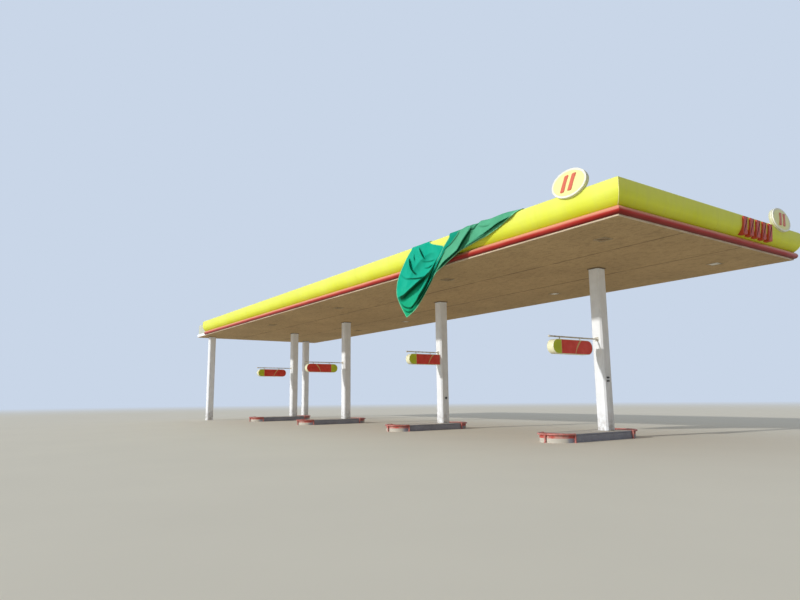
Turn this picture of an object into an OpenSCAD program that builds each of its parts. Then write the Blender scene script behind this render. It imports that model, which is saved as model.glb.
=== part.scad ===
// Filling station canopy: a flat concrete deck on one row of four columns and two columns at
// the far end, with a deep curved fascia, kerbed islands, hanging signs and a draped cloth.
// Millimetres, +Z up. +X points to the near end, -Y to the front.

/* [Deck] */
// Length of the soffit, along X
deck_l = 34500; // [33000:20:36000]
// Width of the soffit, along Y
deck_w = 9140; // [8800:20:10000]
// Height of the soffit above the ground
soffit_z = 5700; // [5200:10:6200]
// Height of the deck's edge, plaster included
slab_t = 200; // [160:5:205]
// Thickness of the plaster under the slab
plaster_t = 20; // [10:1:40]
// Width of the two joints along the plaster
joint_w = 12; // [6:1:30]
// Distance from the front edge to the first joint
joint_1_v = 2860; // [2500:10:3300]
// Distance from the front edge to the second joint
joint_2_v = 5900; // [5500:10:6400]
// Height of the upstand above the slab
upstand_h = 630; // [500:10:640]
// Thickness of the upstand
upstand_t = 120; // [80:5:160]
// Step from the slab's edge back to the upstand
upstand_set = 60; // [50:1:90]
// Height of the beams on the roof
beam_h = 400; // [250:10:500]
// Width of the beam over the row of columns
spine_w = 370; // [300:10:500]
// Width of the beams across the roof
rib_w = 250; // [200:10:350]

/* [Fascia] */
// Length of bare deck at the far end, without fascia
bare_l = 1950; // [1500:10:2600]
// Height of the pale trim at the soffit's edge
trim_h = 35; // [25:1:60]
// Thickness of the pale trim
trim_t = 40; // [10:1:60]
// Radius of the half-round nose
nose_r = 110; // [95:1:120]
// Step from the soffit's edge out to the middle of the nose
nose_set = 30; // [10:1:50]
// How far the fascia's upright face stands out from the soffit's edge
face_out = 240; // [200:5:300]
// Radius of the curve under the upright face
barrel_r = 470; // [440:5:520]
// Height above the soffit at which the curve ends and the upright face starts
barrel_mid = 630; // [600:5:680]
// Height of the fascia's top above the soffit
fascia_h = 920; // [860:5:980]
// Radius of the fascia's top corner
corner_r = 80; // [30:5:120]
// Depth of the fascia behind the soffit's edge
fascia_back = 438; // [350:1:500]
// Thickness of the fascia's sheet
sheet_t = 8; // [4:1:12]

/* [Columns] */
// Width of a column's side
col_w = 415; // [320:5:450]
// Chamfer of a column's corners
col_chamfer = 50; // [20:1:90]
// Distance from the soffit's front edge to the row of columns
row_v = 4720; // [4500:10:5100]
// Distance from the near end to the first column
near_overhang = 4300; // [4000:10:4800]
// Spacing of columns 1 and 2
bay_1 = 8610; // [8000:10:9000]
// Spacing of columns 2 and 3
bay_2 = 8770; // [8000:10:9000]
// Spacing of columns 3 and 4
bay_3 = 6980; // [6000:10:7200]
// Distance from the far end to the two far columns
far_inset = 1000; // [300:10:1200]
// Distance from the front edge to the far front column
far_front_v = 730; // [500:10:1400]
// Distance from the rear edge to the far rear column
far_rear_v = 1250; // [500:10:1400]

/* [Islands] */
// Width of an island
island_w = 1200; // [1000:10:1400]
// Height of an island
island_h = 260; // [150:5:300]
// Length of an island in front of its column
island_fore = 2910; // [2700:10:3300]
// Length of an island behind its column
island_aft = 1130; // [900:10:1600]
// Diameter of the guard pipe
guard_d = 60; // [40:1:80]
// Gap from an island to its guard pipe
guard_gap = 0.3; // [0.2:0.1:0.9]
// Height of the middle of the guard pipe
guard_z = 250; // [200:5:350]

/* [Column signs] */
// Length of a column sign
sign_l = 1900; // [1500:10:2100]
// Height of a column sign
sign_h = 460; // [380:5:560]
// Thickness of a column sign
sign_t = 260; // [160:5:320]
// Height of the middle of the column signs
sign_mid_z = 3050; // [2900:10:3300]
// How much lower sign 1 hangs
sign_1_drop = 110; // [0:5:180]
// Gap from a column to its sign
sign_gap = 410; // [350:5:520]
// How far sign 2 has slid past its column's face
sign_2_slide = 195; // [120:5:300]
// Gap from a sign's top to the middle of its tube
hanger_h = 90; // [60:5:140]
// Diameter of a sign's tube
tube_d = 50; // [35:1:60]
// Radius of the ball at the tube's end
ball_r = 40; // [30:1:60]
// Side of the square plate that holds the tube
plate_w = 140; // [100:5:200]
// Thickness of that plate
plate_t = 10; // [6:1:20]
// Width of the straps from the tube to the sign
strap_w = 40; // [25:1:60]
// Thickness of the straps
strap_t = 8; // [5:1:12]

/* [Oval signs] */
// Width of an oval sign
oval_w = 1130; // [1000:10:1300]
// Height of an oval sign
oval_h = 780; // [700:10:900]
// Thickness of an oval sign
oval_t = 150; // [120:5:200]
// How far an oval sign leans back
oval_lean = 6; // [4:1:12]
// How far the middle of an oval sign's face stands out from the soffit's edge
oval_out = 300; // [270:5:340]
// Distance from the near end to the front oval sign
oval_u = 1200; // [1000:10:2200]
// Distance from the rear edge to the near end's oval sign
oval_rear = 1140; // [800:10:1300]
// Height of the front oval sign's middle above the soffit
oval_front_z = 1140; // [1100:2:1200]
// Height of the near end's oval sign above the soffit
oval_end_z = 1116; // [1100:2:1200]
// Width of an oval sign's foot on the fascia's top
foot_w = 520; // [300:10:800]
// Height of an oval sign's foot
foot_h = 120; // [80:5:160]
// Depth of an oval sign's foot behind its face
foot_d = 380; // [250:5:500]

/* [Raised bars] */
// Number of raised bars on the near end
bar_count = 5; // [3:1:6]
// Width of a raised bar
bar_w = 230; // [150:5:300]
// Spacing of the raised bars
bar_pitch = 380; // [330:5:400]
// Height of a raised bar
bar_h = 560; // [400:5:600]
// Sideways slant of a raised bar over its height
bar_slant = 110; // [0:5:160]
// Distance from the rear edge to the first raised bar
bar_rear = 3640; // [3340:10:4140]
// Height of the bars' lower edge above the soffit
bar_z = 300; // [270:5:340]
// How far the bars stand out from the soffit's edge
bar_out = 290; // [260:5:330]

/* [Soffit lights] */
// Side of a square light fitting
light_w = 400; // [300:10:500]
// How far a fitting stands below the soffit
light_t = 22; // [10:1:40]
// Distance from the front edge to the front row
light_front_v = 1550; // [1500:10:2200]
// Distance from the rear edge to the rear row
light_rear_v = 1690; // [1300:10:2200]
// Places of the front row, from the near end
light_front = [1620, 8500, 16850, 24850];
// Places of the rear row, from the near end
light_rear = [1650, 8550, 19600, 25000];

/* [Cloth] */
// Thickness of the bunched cloth
cloth_t = 90; // [40:5:110]
// How far the cloth reaches back over the fascia's top
cloth_back = 300; // [100:10:400]
// Gap from the cloth to what it lies on
cloth_gap = 0.5; // [0.3:0.1:0.9]

/* [Hidden] */
$fn = 96;

// Places along the deck, measured from the near end's soffit edge
row_u = [near_overhang, near_overhang + bay_1, near_overhang + bay_1 + bay_2,
         near_overhang + bay_1 + bay_2 + bay_3];
far_u = deck_l - far_inset;
clad_l = deck_l - bare_l;

// The fascia's section: x is outwards from the soffit's edge, y is up from the soffit
barrel_low = trim_h + 2 * nose_r;
barrel_cx = face_out - barrel_r;
corner_x = face_out - corner_r;
corner_y = fascia_h - corner_r;
back_x = -fascia_back - sheet_t;

// How far each side reaches past the soffit, and the middle of the whole in plan
oval_reach = oval_out + oval_h / 2 * sin(oval_lean);
near_out = max(bar_out, oval_reach);
front_out = max(oval_reach, face_out + cloth_gap + cloth_t);
near_x = (deck_l - near_out) / 2;
front_y = -(deck_w + face_out - front_out) / 2;

// Edges of the three bands of plaster, height of the roof, and the columns' front face
band_v = [0, joint_1_v + joint_w / 2, joint_2_v + joint_w / 2];
band_end = [joint_1_v - joint_w / 2, joint_2_v - joint_w / 2, deck_w];
roof_z = soffit_z + slab_t;
col_face_v = row_v - col_w / 2;

// Radius of an island's ends with the middles of both, and the bow of a guard pipe
island_r = island_w / 2;
fore_v = row_v - island_fore + island_r;
aft_v = row_v + island_aft - island_r;
guard_r = island_r + guard_gap + guard_d / 2;

// Heights of the column signs' middles, and the ends of the signs that face the columns
sign_z = [sign_mid_z - sign_1_drop, sign_mid_z, sign_mid_z, sign_mid_z];
sign_end_v = [col_face_v - sign_gap, col_face_v + sign_2_slide, col_face_v - sign_gap,
              col_face_v - sign_gap];

// Reach of the mitre masks past what they cut, an overlap, and the corners of an oval
reach = 1500;
eps = 1;
oval_steps = 72;

// The cloth's outline seen from the front: [distance from the near end, height over the soffit]
cloth_outline = [[2925, 1130], [2960, 900], [3363, 845], [3780, 711], [4213, 571], [4662, 441],
                 [5125, 386], [5559, 302], [6273, -48], [6802, -151], [6969, -291], [7308, -610],
                 [7773, -1023], [8130, -1345], [8591, -1529], [9105, -985], [9226, -566],
                 [9154, -98], [8763, 439], [8223, 860], [8223, 1130], [7127, 1130], [7127, 839],
                 [6512, 586], [6138, 856], [6138, 1130]];

// Puts what is drawn at a place counted from the near end (u) and the front (v)
module at(u, v, z = 0) {
    translate([near_x - u, front_y + v, z]) children();
}

// A block from one corner (u, v, z) with its size along u, v and z
module block(u, v, z, size) {
    at(u + size[0], v, z) cube(size);
}

// Carries a section along the front edge, from the near end's corner to the clad length
module front_run(past = 0) {
    at(clad_l, 0, soffit_z)
        mirror([0, 1, 0])
            rotate([90, 0, 90]) linear_extrude(clad_l + past) children();
}

// Carries a section along the rear edge
module rear_run(past = 0) {
    at(clad_l, deck_w, soffit_z)
        rotate([90, 0, 90]) linear_extrude(clad_l + past) children();
}

// Carries a section along the near end, past both corners
module near_run(past = 0) {
    at(0, deck_w + past, soffit_z)
        rotate([90, 0, 0]) linear_extrude(deck_w + 2 * past) children();
}

// Plan masks that mitre the three runs at the near corners
module front_mask() {
    at(0, 0) linear_extrude(soffit_z + reach)
        polygon([[-deck_l, -reach], [reach, -reach], [-reach, reach], [-deck_l, reach]]);
}

module rear_mask() {
    at(0, deck_w) linear_extrude(soffit_z + reach)
        polygon([[-deck_l, reach], [reach, reach], [-reach, -reach], [-deck_l, -reach]]);
}

module near_mask() {
    at(0, 0) linear_extrude(soffit_z + reach)
        polygon([[reach, -reach], [reach, deck_w + reach], [-reach, deck_w - reach],
                 [-reach, reach]]);
}

// One mitred run of a section on the side named
module run(side) {
    intersection() {
        if (side == "front") front_run(reach) children();
        if (side == "rear") rear_run(reach) children();
        if (side == "near") near_run(reach) children();
        union() {
            if (side == "front") front_mask();
            if (side == "rear") rear_mask();
            if (side == "near") near_mask();
        }
    }
}

// The nose, filled: a half disc in front of a block, on top of the trim; t goes in from outside
module nose_fill(t = 0) {
    translate([0, trim_h + t]) square([nose_set, 2 * (nose_r - t)]);
    intersection() {
        translate([nose_set, trim_h + nose_r]) circle(nose_r - t);
        translate([nose_set, trim_h]) square([nose_r, 2 * nose_r]);
    }
}

module nose_section() {
    difference() {
        nose_fill();
        nose_fill(sheet_t);
    }
}

// The fascia, filled: a curve, an upright face and a rounded top corner; t goes in from outside
module fascia_fill(t = 0) {
    intersection() {
        translate([barrel_cx, barrel_mid]) circle(barrel_r - t);
        translate([-fascia_back, barrel_low]) square([fascia_back + face_out, barrel_mid - barrel_low]);
    }
    translate([-fascia_back, barrel_mid])
        square([fascia_back + face_out - t, corner_y - barrel_mid]);
    translate([-fascia_back, corner_y])
        square([fascia_back + corner_x, corner_r - t]);
    translate([corner_x, corner_y]) circle(corner_r - t);
}

module fascia_section() {
    // curved sheet with its upright face and its top
    difference() {
        fascia_fill();
        fascia_fill(sheet_t);
    }
    // lower lip from the upstand out to the curve
    intersection() {
        fascia_fill();
        translate([-upstand_set, barrel_low]) square([upstand_set + face_out, sheet_t]);
    }
    // sheet down the back to the roof
    translate([back_x, slab_t]) square([sheet_t, fascia_h - slab_t]);
}

// End plate of the fascia, with the upstand passing through it
module cap_section() {
    difference() {
        fascia_fill();
        translate([-upstand_set - upstand_t, 0]) square([upstand_t, slab_t + upstand_h]);
    }
    translate([back_x, slab_t]) square([sheet_t, fascia_h - slab_t]);
    translate([-fascia_back, slab_t])
        square([fascia_back - upstand_set - upstand_t, barrel_low - slab_t]);
}

// Deck
module deck_slab() {
    color("#b9b8ae")
        block(0, 0, soffit_z + plaster_t, [deck_l, deck_w, slab_t - plaster_t]);
}

// Three bands of plaster, apart by the joints
module plaster(i) {
    color("#8a7257")
        block(0, band_v[i], soffit_z, [deck_l, band_end[i] - band_v[i], plaster_t]);
}

module plaster_front() { plaster(0); }
module plaster_middle() { plaster(1); }
module plaster_rear() { plaster(2); }

// Upstands along the slab's edges
module upstand_long(v) {
    color("#c5cab7")
        block(upstand_set, v, roof_z, [deck_l - 2 * upstand_set, upstand_t, upstand_h]);
}

module upstand_short(u) {
    color("#c5cab7")
        block(u, upstand_set + upstand_t, roof_z,
              [upstand_t, deck_w - 2 * (upstand_set + upstand_t), upstand_h]);
}

module upstand_front() { upstand_long(upstand_set); }
module upstand_rear() { upstand_long(deck_w - upstand_set - upstand_t); }
module upstand_near_end() { upstand_short(upstand_set); }
module upstand_far_end() { upstand_short(deck_l - upstand_set - upstand_t); }

// Beam on the roof over the row
module spine_beam() {
    spine_l = deck_l + back_x - upstand_set - upstand_t;
    color("#a9a79b")
        block(-back_x, row_v - spine_w / 2, roof_z, [spine_l, spine_w, beam_h]);
}

// Ribs from the spine to both long sides, one pair at each column of the row
module roof_ribs() {
    front_l = row_v - spine_w / 2 + back_x;
    rear_l = deck_w - row_v - spine_w / 2 + back_x;
    color("#a9a79b")
        for (u = row_u) {
            block(u - rib_w / 2, -back_x, roof_z, [rib_w, front_l, beam_h]);
            block(u - rib_w / 2, row_v + spine_w / 2, roof_z, [rib_w, rear_l, beam_h]);
        }
}

// Fascia
module fascia_front() { color("#f0ee50") run("front") fascia_section(); }
module fascia_near_end() { color("#f0ee50") run("near") fascia_section(); }
module fascia_rear() { color("#f0ee50") run("rear") fascia_section(); }

module fascia_end_caps() {
    color("#e6e24a") {
        at(clad_l + sheet_t, 0, soffit_z)
            mirror([0, 1, 0]) rotate([90, 0, 90]) linear_extrude(sheet_t) {
                cap_section();
                nose_fill();
            }
        at(clad_l + sheet_t, deck_w, soffit_z)
            rotate([90, 0, 90]) linear_extrude(sheet_t) {
                cap_section();
                nose_fill();
            }
    }
}

module nose_front() { color("#b8432f") run("front") nose_section(); }
module nose_near_end() { color("#b8432f") run("near") nose_section(); }
module nose_rear() { color("#b8432f") run("rear") nose_section(); }

// Flat trim along three sides of the slab
module edge_trim() {
    color("#d8bfa5") difference() {
        block(-trim_t, -trim_t, soffit_z, [clad_l + trim_t, deck_w + 2 * trim_t, trim_h]);
        block(0, 0, soffit_z - eps, [clad_l + eps, deck_w, trim_h + 2 * eps]);
    }
}

// A square column with chamfered corners, standing at height z0
module column(u, v, z0) {
    h = col_w / 2;
    c = h - col_chamfer;
    color("#eceade")
        at(u, v, z0) linear_extrude(soffit_z - z0)
            polygon([[-h, -c], [-c, -h], [c, -h], [h, -c], [h, c], [c, h], [-c, h], [-h, c]]);
}

module column_1() { column(row_u[0], row_v, island_h); }
module column_2() { column(row_u[1], row_v, island_h); }
module column_3() { column(row_u[2], row_v, island_h); }
module column_4() { column(row_u[3], row_v, island_h); }
module column_far_front() { column(far_u, far_front_v, 0); }
module column_far_rear() { column(far_u, deck_w - far_rear_v, 0); }

// Islands: long kerbed plinths with half-round ends
module island(u) {
    color("#8c8a88") {
        at(u, fore_v) cylinder(r = island_r, h = island_h);
        at(u, aft_v) cylinder(r = island_r, h = island_h);
        block(u - island_r, fore_v, 0, [island_w, aft_v - fore_v, island_h]);
    }
}

module island_1() { island(row_u[0]); }
module island_2() { island(row_u[1]); }
module island_3() { island(row_u[2]); }
module island_4() { island(row_u[3]); }

// Half a ring of pipe on three legs, bowed towards -Y
module half_guard() {
    translate([0, 0, guard_z]) rotate([0, 0, 180])
        rotate_extrude(angle = 180) translate([guard_r, 0]) circle(d = guard_d);
    for (a = [180, 270, 360])
        rotate([0, 0, a]) translate([guard_r, 0, 0]) {
            cylinder(d = guard_d, h = guard_z);
            translate([0, 0, guard_z]) sphere(d = guard_d);
        }
}

module guard(u) {
    color("#b8514a") {
        at(u, fore_v) half_guard();
        at(u, aft_v) mirror([0, 1, 0]) half_guard();
    }
}

module guard_1() { guard(row_u[0]); }
module guard_2() { guard(row_u[1]); }
module guard_3() { guard(row_u[2]); }
module guard_4() { guard(row_u[3]); }

// Column signs: boxes with half-round ends, cut off where they meet a column
module column_sign(i) {
    r = sign_h / 2;
    v0 = sign_end_v[i] - sign_l;
    color("#b23a2e")
        at(row_u[i] + sign_t / 2, 0, sign_z[i])
            rotate([90, 0, 90]) linear_extrude(sign_t)
                difference() {
                    union() {
                        translate([v0 + r, 0]) circle(r);
                        translate([sign_end_v[i] - r, 0]) circle(r);
                        translate([v0 + r, -r]) square([sign_l - 2 * r, sign_h]);
                    }
                    translate([col_face_v, -sign_h]) square([sign_l, 2 * sign_h]);
                }
}

module column_sign_1() { column_sign(0); }
module column_sign_2() { column_sign(1); }
module column_sign_3() { column_sign(2); }
module column_sign_4() { column_sign(3); }

// Tube on a plate at the column, with two straps down to the sign and a ball at its end
module sign_bracket(i) {
    tube_z = sign_z[i] + sign_h / 2 + hanger_h;
    v0 = sign_end_v[i] - sign_l;
    strap_end = min(sign_end_v[i], col_face_v) - sign_h;
    color("#9a958c") {
        block(row_u[i] - plate_w / 2, col_face_v - plate_t, tube_z - plate_w / 2,
              [plate_w, plate_t, plate_w]);
        at(row_u[i], v0 - ball_r / 2, tube_z)
            rotate([-90, 0, 0]) cylinder(d = tube_d, h = col_face_v - plate_t - v0 + ball_r / 2);
        at(row_u[i], v0 - ball_r / 2, tube_z) sphere(ball_r);
        for (v = [v0 + sign_h, strap_end])
            block(row_u[i] - strap_t / 2, v - strap_w / 2, tube_z - hanger_h,
                  [strap_t, strap_w, hanger_h]);
    }
}

module sign_bracket_1() { sign_bracket(0); }
module sign_bracket_2() { sign_bracket(1); }
module sign_bracket_3() { sign_bracket(2); }
module sign_bracket_4() { sign_bracket(3); }

// Square light fittings flat under the plaster
module soffit_lights() {
    color("#d9d5c6") {
        for (u = light_front)
            block(u - light_w / 2, light_front_v - light_w / 2, soffit_z - light_t,
                  [light_w, light_w, light_t]);
        for (u = light_rear)
            block(u - light_w / 2, deck_w - light_rear_v - light_w / 2, soffit_z - light_t,
                  [light_w, light_w, light_t]);
    }
}

// An oval box, drawn facing +X with the middle of its face at height z, and its foot behind it
module oval_box(z) {
    translate([oval_out, 0, z]) rotate([0, -oval_lean, 0]) rotate([90, 0, 90])
        translate([0, 0, -oval_t]) linear_extrude(oval_t)
            polygon([for (i = [0:oval_steps - 1])
                     [oval_w / 2 * cos(360 * i / oval_steps),
                      oval_h / 2 * sin(360 * i / oval_steps)]]);
    translate([oval_out - foot_d, -foot_w / 2, fascia_h])
        cube([foot_d - oval_t / 2, foot_w, foot_h]);
}

module oval_sign_front() {
    color("#f3f0b0") difference() {
        at(oval_u, 0, soffit_z) rotate([0, 0, -90]) oval_box(oval_front_z);
        front_run() fascia_fill();
    }
}

module oval_sign_near_end() {
    color("#f3f0b0") difference() {
        at(0, deck_w - oval_rear, soffit_z) oval_box(oval_end_z);
        near_run() fascia_fill();
    }
}

// Plain slanted bars that stand out from the near end's fascia
module raised_bars() {
    color("#b0402e") difference() {
        for (i = [0:bar_count - 1])
            at(0, deck_w - bar_rear + i * bar_pitch, soffit_z + bar_z)
                rotate([90, 0, 90]) linear_extrude(bar_out)
                    polygon([[0, 0], [bar_w, 0], [bar_w + bar_slant, bar_h], [bar_slant, bar_h]]);
        near_run() fascia_fill();
    }
}

// The cloth: a thick strip over the fascia that hangs in front of the nose, cut to its outline
module cloth_strip() {
    inner = corner_r + cloth_gap;
    difference() {
        translate([corner_x, corner_y]) circle(inner + cloth_t);
        translate([corner_x, corner_y]) circle(inner);
        translate([corner_x - 2 * inner - cloth_t, corner_y - 2 * inner - cloth_t])
            square([2 * inner + cloth_t, 4 * inner + 2 * cloth_t]);
        translate([corner_x, corner_y - 2 * inner - cloth_t])
            square(2 * inner + cloth_t);
    }
    translate([-cloth_back, fascia_h + cloth_gap]) square([cloth_back + corner_x, cloth_t]);
    translate([face_out + cloth_gap, corner_y - reach - fascia_h])
        square([cloth_t, reach + fascia_h]);
}

module draped_cloth() {
    color("#2fae8f") intersection() {
        front_run() cloth_strip();
        at(0, reach / 2, soffit_z) rotate([90, 0, 0]) linear_extrude(reach)
            polygon([for (p = cloth_outline) [-p[0], p[1]]]);
    }
}

deck_slab();
plaster_front();
plaster_middle();
plaster_rear();
upstand_front();
upstand_rear();
upstand_near_end();
upstand_far_end();
spine_beam();
roof_ribs();
fascia_front();
fascia_near_end();
fascia_rear();
fascia_end_caps();
nose_front();
nose_near_end();
nose_rear();
edge_trim();
column_1();
column_2();
column_3();
column_4();
column_far_front();
column_far_rear();
island_1();
island_2();
island_3();
island_4();
guard_1();
guard_2();
guard_3();
guard_4();
column_sign_1();
column_sign_2();
column_sign_3();
column_sign_4();
sign_bracket_1();
sign_bracket_2();
sign_bracket_3();
sign_bracket_4();
soffit_lights();
oval_sign_front();
oval_sign_near_end();
raised_bars();
draped_cloth();
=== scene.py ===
import math

import bmesh
import bpy
import numpy as np
from bpy.props import FloatProperty, FloatVectorProperty, PointerProperty
from mathutils import Matrix, Vector


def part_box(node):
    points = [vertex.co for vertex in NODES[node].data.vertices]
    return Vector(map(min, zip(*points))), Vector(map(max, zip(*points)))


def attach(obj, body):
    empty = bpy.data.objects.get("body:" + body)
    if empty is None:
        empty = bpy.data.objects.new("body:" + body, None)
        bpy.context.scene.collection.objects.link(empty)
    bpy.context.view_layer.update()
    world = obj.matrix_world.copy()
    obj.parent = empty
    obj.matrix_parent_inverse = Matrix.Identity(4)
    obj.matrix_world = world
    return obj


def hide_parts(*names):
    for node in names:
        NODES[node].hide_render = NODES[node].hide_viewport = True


bl_info = {
    "name": "Filling station canopy",
    "version": (1, 0, 0),
    "blender": (4, 5, 0),
    "location": "View3D > Sidebar > Canopy",
    "description": "Dresses the packed canopy: sheet fascia, plaster, signs, islands and cloth",
    "category": "Object",
}

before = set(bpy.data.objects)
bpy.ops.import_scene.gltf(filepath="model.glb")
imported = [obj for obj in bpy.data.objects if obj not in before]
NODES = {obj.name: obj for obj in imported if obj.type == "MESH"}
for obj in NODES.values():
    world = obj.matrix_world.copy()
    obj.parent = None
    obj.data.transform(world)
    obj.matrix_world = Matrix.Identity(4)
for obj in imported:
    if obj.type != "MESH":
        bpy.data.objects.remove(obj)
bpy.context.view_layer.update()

# Places on the deck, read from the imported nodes, in metres
SLAB_LOW, SLAB_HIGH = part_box("deck_slab")
NEAR, FRONT, REAR, ROOF = SLAB_HIGH.x, SLAB_LOW.y, SLAB_HIGH.y, SLAB_HIGH.z
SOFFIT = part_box("plaster_front")[0].z
CLAD_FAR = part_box("fascia_front")[0].x
FASCIA_LOW, FASCIA_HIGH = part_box("fascia_rear")
FACE_OUT, FASCIA_TOP = FASCIA_HIGH.y - REAR, FASCIA_HIGH.z - SOFFIT
FASCIA_BACK = REAR - FASCIA_LOW.y
NOSE_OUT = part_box("nose_rear")[1].y - REAR
NOSE_LOW, NOSE_HIGH = (corner.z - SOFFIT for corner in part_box("nose_rear"))
ROW = ["1", "2", "3", "4"]
COLUMNS = [f"column_{i}" for i in ROW] + ["column_far_front", "column_far_rear"]
PLASTER_JOINTS = [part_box("plaster_front")[1].y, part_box("plaster_middle")[1].y]

# The fascia's section, as in part.scad: the curve's radius and the height where it turns
# upright, the top corner's radius, the upstand's face behind it and the thickness of the sheet
BARREL_R = 0.47
BARREL_MID = 0.63
CORNER_R = 0.08
UPSTAND_SET = 0.06
SHEET = 0.008

# How far before a mitre a sheet's even places and joints end, and the places from the mitre
# on where the sheet sinks
MITRE_CLEAR = 0.52
MITRE_SINK = np.array([[0.0], [0.018], [0.022]])

# Across, up and out of an outline that lies level, and of one that faces the near end
LYING = ((1, 0, 0), (0, 1, 0), (0, 0, 1))
STANDING = ((0, 1, 0), (0, 0, 1), (1, 0, 0))

# The photograph's camera, solved from the deck's edges and the columns
CAMERA_AT = (NEAR + 8.729, FRONT - 12.490, 1.393)
CAMERA_YAW, CAMERA_PITCH, CAMERA_ROLL = (math.radians(a) for a in (34.614, 9.110, -0.581))
CAMERA_LENS = 27.374


def linear(code):
    """An sRGB hex code as linear red, green, blue and 1: each channel's curve is undone."""
    parts = np.array([int(code[i:i + 2], 16) for i in (1, 3, 5)]) / 255
    low = parts / 12.92
    high = ((parts + 0.055) / 1.055) ** 2.4
    return (*np.where(parts <= 0.04045, low, high).tolist(), 1.0)


def colour(code, name, description):
    """A colour that a user can change, written as sRGB hex."""
    return FloatVectorProperty(name=name, description=description, subtype="COLOR", size=4,
                               min=0.0, max=1.0, default=linear(code))


def length(value, name, description):
    """A length in metres that a user can change."""
    return FloatProperty(name=name, description=description, default=value, min=0.0,
                         unit="LENGTH", subtype="DISTANCE", precision=4)


class CanopySizes(bpy.types.PropertyGroup):
    """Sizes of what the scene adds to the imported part."""
    sheet_pitch: length(2.44, "Sheet length", "Length of one rolled sheet of the barrel")
    sheet_gap: length(0.006, "Sheet joint", "Width of the joint between two sheets")
    buckle: length(0.0016, "Buckle", "How far a sheet bows in and out between its joints")
    nose_pitch: length(5.8, "Nose length", "Length of one piece of the half-round nose")
    bead: length(0.008, "Corner bead", "Radius of the round bead at the fascia's corners")
    collar: length(0.04, "Mortar collar", "How far the mortar stands out at a column's head")
    kerb_round: length(0.018, "Kerb edge", "Radius of an island's worn top edge")
    coping: length(0.045, "Coping", "Height of the coping over the groove round an island")
    pipe: length(0.06, "Guard pipe", "Diameter of the pipe round an island's end")
    cloth_thick: length(0.002, "Cloth", "Thickness of the draped cloth")
    frame_lip: length(0.03, "Fitting's lip", "Width of the lip round a light's panel")


class CanopyColours(bpy.types.PropertyGroup):
    """Colours of the canopy's finishes."""
    yellow: colour("#E8EE1C", "Yellow sheet", "Coated sheet of the barrel")
    red: colour("#BC261C", "Red nose", "Half-round nose under the barrel")
    cream: colour("#D6C2A6", "Cream trim", "Painted bar at the soffit's edge")
    plaster: colour("#C2A67C", "Soffit plaster", "Stippled plaster under the deck")
    render: colour("#C6CABA", "Upstand render", "Painted render at the bare end")
    concrete: colour("#A5A196", "Roof concrete", "Cast concrete of the roof and its beams")
    masonry: colour("#F6F9FD", "Column paint", "White masonry paint")
    kerb: colour("#9A9BA8", "Kerb paint", "Blue-grey paint on the islands' sides")
    pipe: colour("#C4564A", "Guard paint", "Worn red paint on the pipes")
    sign_red: colour("#F03E24", "Sign red", "Red field of the hanging signs")
    sign_lime: colour("#D2DE30", "Sign lime", "Lime end of the hanging signs")
    sign_pale: colour("#F4F1CC", "Sign edge", "Pale rims and stripes of the signs")
    steel: colour("#DAD6C8", "Sign steel", "Painted tube that carries a sign")
    bars: colour("#C84026", "Raised bars", "Formed acrylic on the near end")
    cloth: colour("#0CAE90", "Cloth", "Draped green cloth")
    cloth_back: colour("#56AC84", "Cloth's reverse", "Paler reverse of the draped cloth")
    floor: colour("#DED8C8", "Floor", "Plain pale floor")
    backdrop: colour("#C9D6E8", "Backdrop", "What the camera sees behind the object")


# Building surfaces

def box_of(name):
    """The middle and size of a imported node's box, and its low and high corners."""
    low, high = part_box(name)
    return (low + high) / 2, high - low, low, high


def quads(rows, cols, wrap=False):
    """Corner numbers of a grid's cells: each joins a point, the next row's, that row's next
    column's and its own row's next column's. A wrapped grid's last column joins its first."""
    row = np.arange(rows - 1)[:, None] * cols
    c = np.arange(cols if wrap else cols - 1)[None, :]
    c2 = (c + 1) % cols
    return np.stack([row + c, row + cols + c, row + cols + c2, row + c2], -1).reshape(-1, 4)


def body(rows, cols):
    """Groups of faces that close rings of points to a body: each ring of faces, and the two
    flat ends."""
    rings = [quads(2, cols, wrap=True) + row * cols for row in range(rows - 1)]
    return rings + [[range(cols)], [range((rows - 1) * cols, rows * cols)]]


def direction(line):
    """The direction of a line at each of its points, one long."""
    along = np.gradient(np.asarray(line, float), axis=0)
    return along / (np.linalg.norm(along, axis=1, keepdims=True) + 1e-12)


class Shape:
    """Surfaces gathered into one mesh: its points and their UVs, and its faces and their
    material numbers."""

    def __init__(self):
        self.points, self.faces, self.slots, self.uv, self.count = [], [], [], [], 0

    def add(self, points, *groups, slots=None, uv=None):
        """Adds points with groups of faces that count from these points. slots gives a
        material number for each group."""
        flat = np.asarray(points, float).reshape(-1, 3)
        for number, group in enumerate(groups):
            rows = [[int(i) + self.count for i in face] for face in group]
            self.faces += rows
            self.slots += [slots[number] if slots else 0] * len(rows)
        self.points.append(flat)
        self.uv.append(np.zeros((len(flat), 2)) if uv is None else np.reshape(uv, (-1, 2)))
        self.count += len(flat)
        return self


def turn_outwards(work):
    """Turns the faces of each closed body in this mesh outwards. Blender goes by one far face
    of a body, which is wrong for a leaning bar, so the sign of the volume decides."""
    bmesh.ops.recalc_face_normals(work, faces=work.faces)
    left = set(work.faces)
    while left:
        faces = [left.pop()]
        for face in faces:
            beside = {other for edge in face.edges for other in edge.link_faces} & left
            left -= beside
            faces += beside
        start = faces[0].calc_center_median()
        volume = sum((face.calc_center_median() - start).dot(face.normal) * face.calc_area()
                     for face in faces)
        if volume < 0:
            bmesh.ops.reverse_faces(work, faces=faces)


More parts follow.
